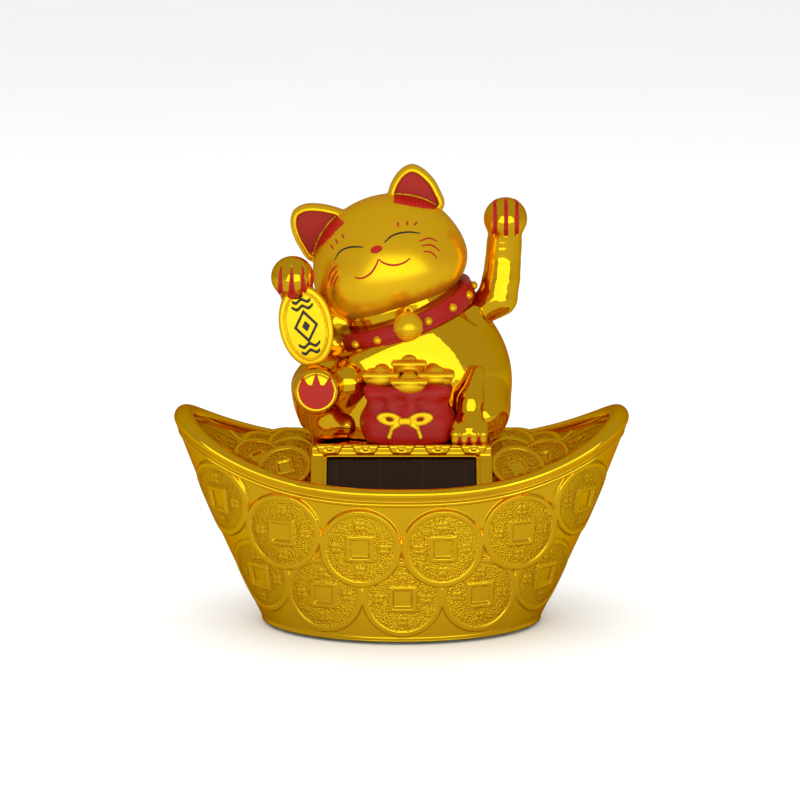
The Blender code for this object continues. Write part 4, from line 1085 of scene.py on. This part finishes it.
def soft_light(name, place, aim, size, strength, glossy=True, colour=(1, 1, 1), only=None):
    """A rectangular softbox; strength is its radiance, and only lists the sole pieces it lights, if given."""
    data = bpy.data.lights.new(name, "AREA")
    data.shape = "RECTANGLE"
    data.size, data.size_y = size
    data.energy = strength * size[0] * size[1] * pi
    obj = bpy.data.objects.new(name, data)
    obj.location = place
    obj.rotation_euler = (Vector(aim) - Vector(place)).to_track_quat("-Z", "Y").to_euler()
    obj.visible_camera = False
    obj.visible_glossy = glossy
    data.color = colour
    bpy.context.scene.collection.objects.link(obj)
    if only:
        lit = bpy.data.collections.new(name + "_lit")
        for piece in only:
            lit.objects.link(piece)
        obj.light_linking.receiver_collection = lit
    return obj


def make_studio():
    scene = bpy.context.scene
    scene.view_settings.view_transform = "Standard"
    world = bpy.data.worlds.new("studio")
    scene.world = world
    world.use_nodes = True
    tree = world.node_tree
    back = tree.nodes["Background"]
    path = tree.nodes.new("ShaderNodeLightPath")
    mix = tree.nodes.new("ShaderNodeMix")
    mix.data_type = "RGBA"
    mix.inputs["A"].default_value = (1.0, 1.0, 1.0, 1)
    mix.inputs["B"].default_value = (0.41, 0.39, 0.36, 1)
    tree.links.new(path.outputs["Is Glossy Ray"], mix.inputs["Factor"])
    tree.links.new(mix.outputs["Result"], back.inputs["Color"])

    bpy.ops.mesh.primitive_plane_add(size=6, location=(0, 0, -0.0002))
    floor = bpy.context.object
    floor.name = "floor"
    paper_shaded_in_reflections, tree, shader = shader_of("paper_shaded_in_reflections")
    plain = tint(tree, spread(tree, noise(tree, 8, 3), 0, 1), (0.94, 0.94, 0.94), (0.92, 0.92, 0.92))
    # Painted shade in reflections: glossy rays see the floor as a 0.40 grey, and every other ray sees the
    # near-white paper.
    reflection_shade = tree.nodes.new("ShaderNodeMix")
    reflection_shade.data_type = "RGBA"
    tree.links.new(tree.nodes.new("ShaderNodeLightPath").outputs["Is Glossy Ray"], reflection_shade.inputs["Factor"])
    tree.links.new(plain, reflection_shade.inputs["A"])
    reflection_shade.inputs["B"].default_value = (0.40, 0.40, 0.40, 1)
    tree.links.new(reflection_shade.outputs["Result"], shader.inputs["Base Color"])
    shader.inputs["Roughness"].default_value = 0.9
    floor.data.materials.append(paper_shaded_in_reflections)
    floor.visible_shadow = False

    aim = (0.09, 0.253, 0.811)
    soft_light("front_low", (0.09, -0.44, 0.09), aim, (0.66, 0.72), 1.0, colour=(0.96, 1.22, 0.9))
    rim = [bpy.data.objects["rim_moulding"]]
    for name, side in (("rim_card_left", -1), ("rim_card_right", 1)):
        place = (side * 0.46, -0.36, 0.13)
        soft_light(name, place, (0, 0, 0.05), (0.5, 0.26), 1.0, colour=(0.96, 1.15, 0.9), only=rim)
    soft_light("overhead", (-0.1, -0.1, 0.9), (0, 0, 0.05), (1.2, 1.2), 1.1, glossy=False)


def make_camera():
    data = bpy.data.cameras.new("camera")
    data.lens, data.sensor_width = 135, 36
    camera = bpy.data.objects.new("camera", data)
    bpy.context.scene.collection.objects.link(camera)
    rise = radians(11.75)
    target = Vector((-0.41, 0, 62.05)) * MM
    camera.location = target + Vector((0, -cos(rise), sin(rise))) * 0.822
    camera.rotation_euler = (radians(90) - rise, 0, 0)
    data.clip_start = 0.05
    bpy.context.scene.camera = camera


make_camera()
make_hull()
make_rim()
make_bowl()
make_pedestal()
make_trim()
make_heaps()
make_body()
make_head()
make_face()
make_collar()
make_bell()
make_plaque()
make_holding_arm()
make_raised_foot()
make_left_leg()
make_bag()
make_waving_arm()
dress_frame()
make_studio()
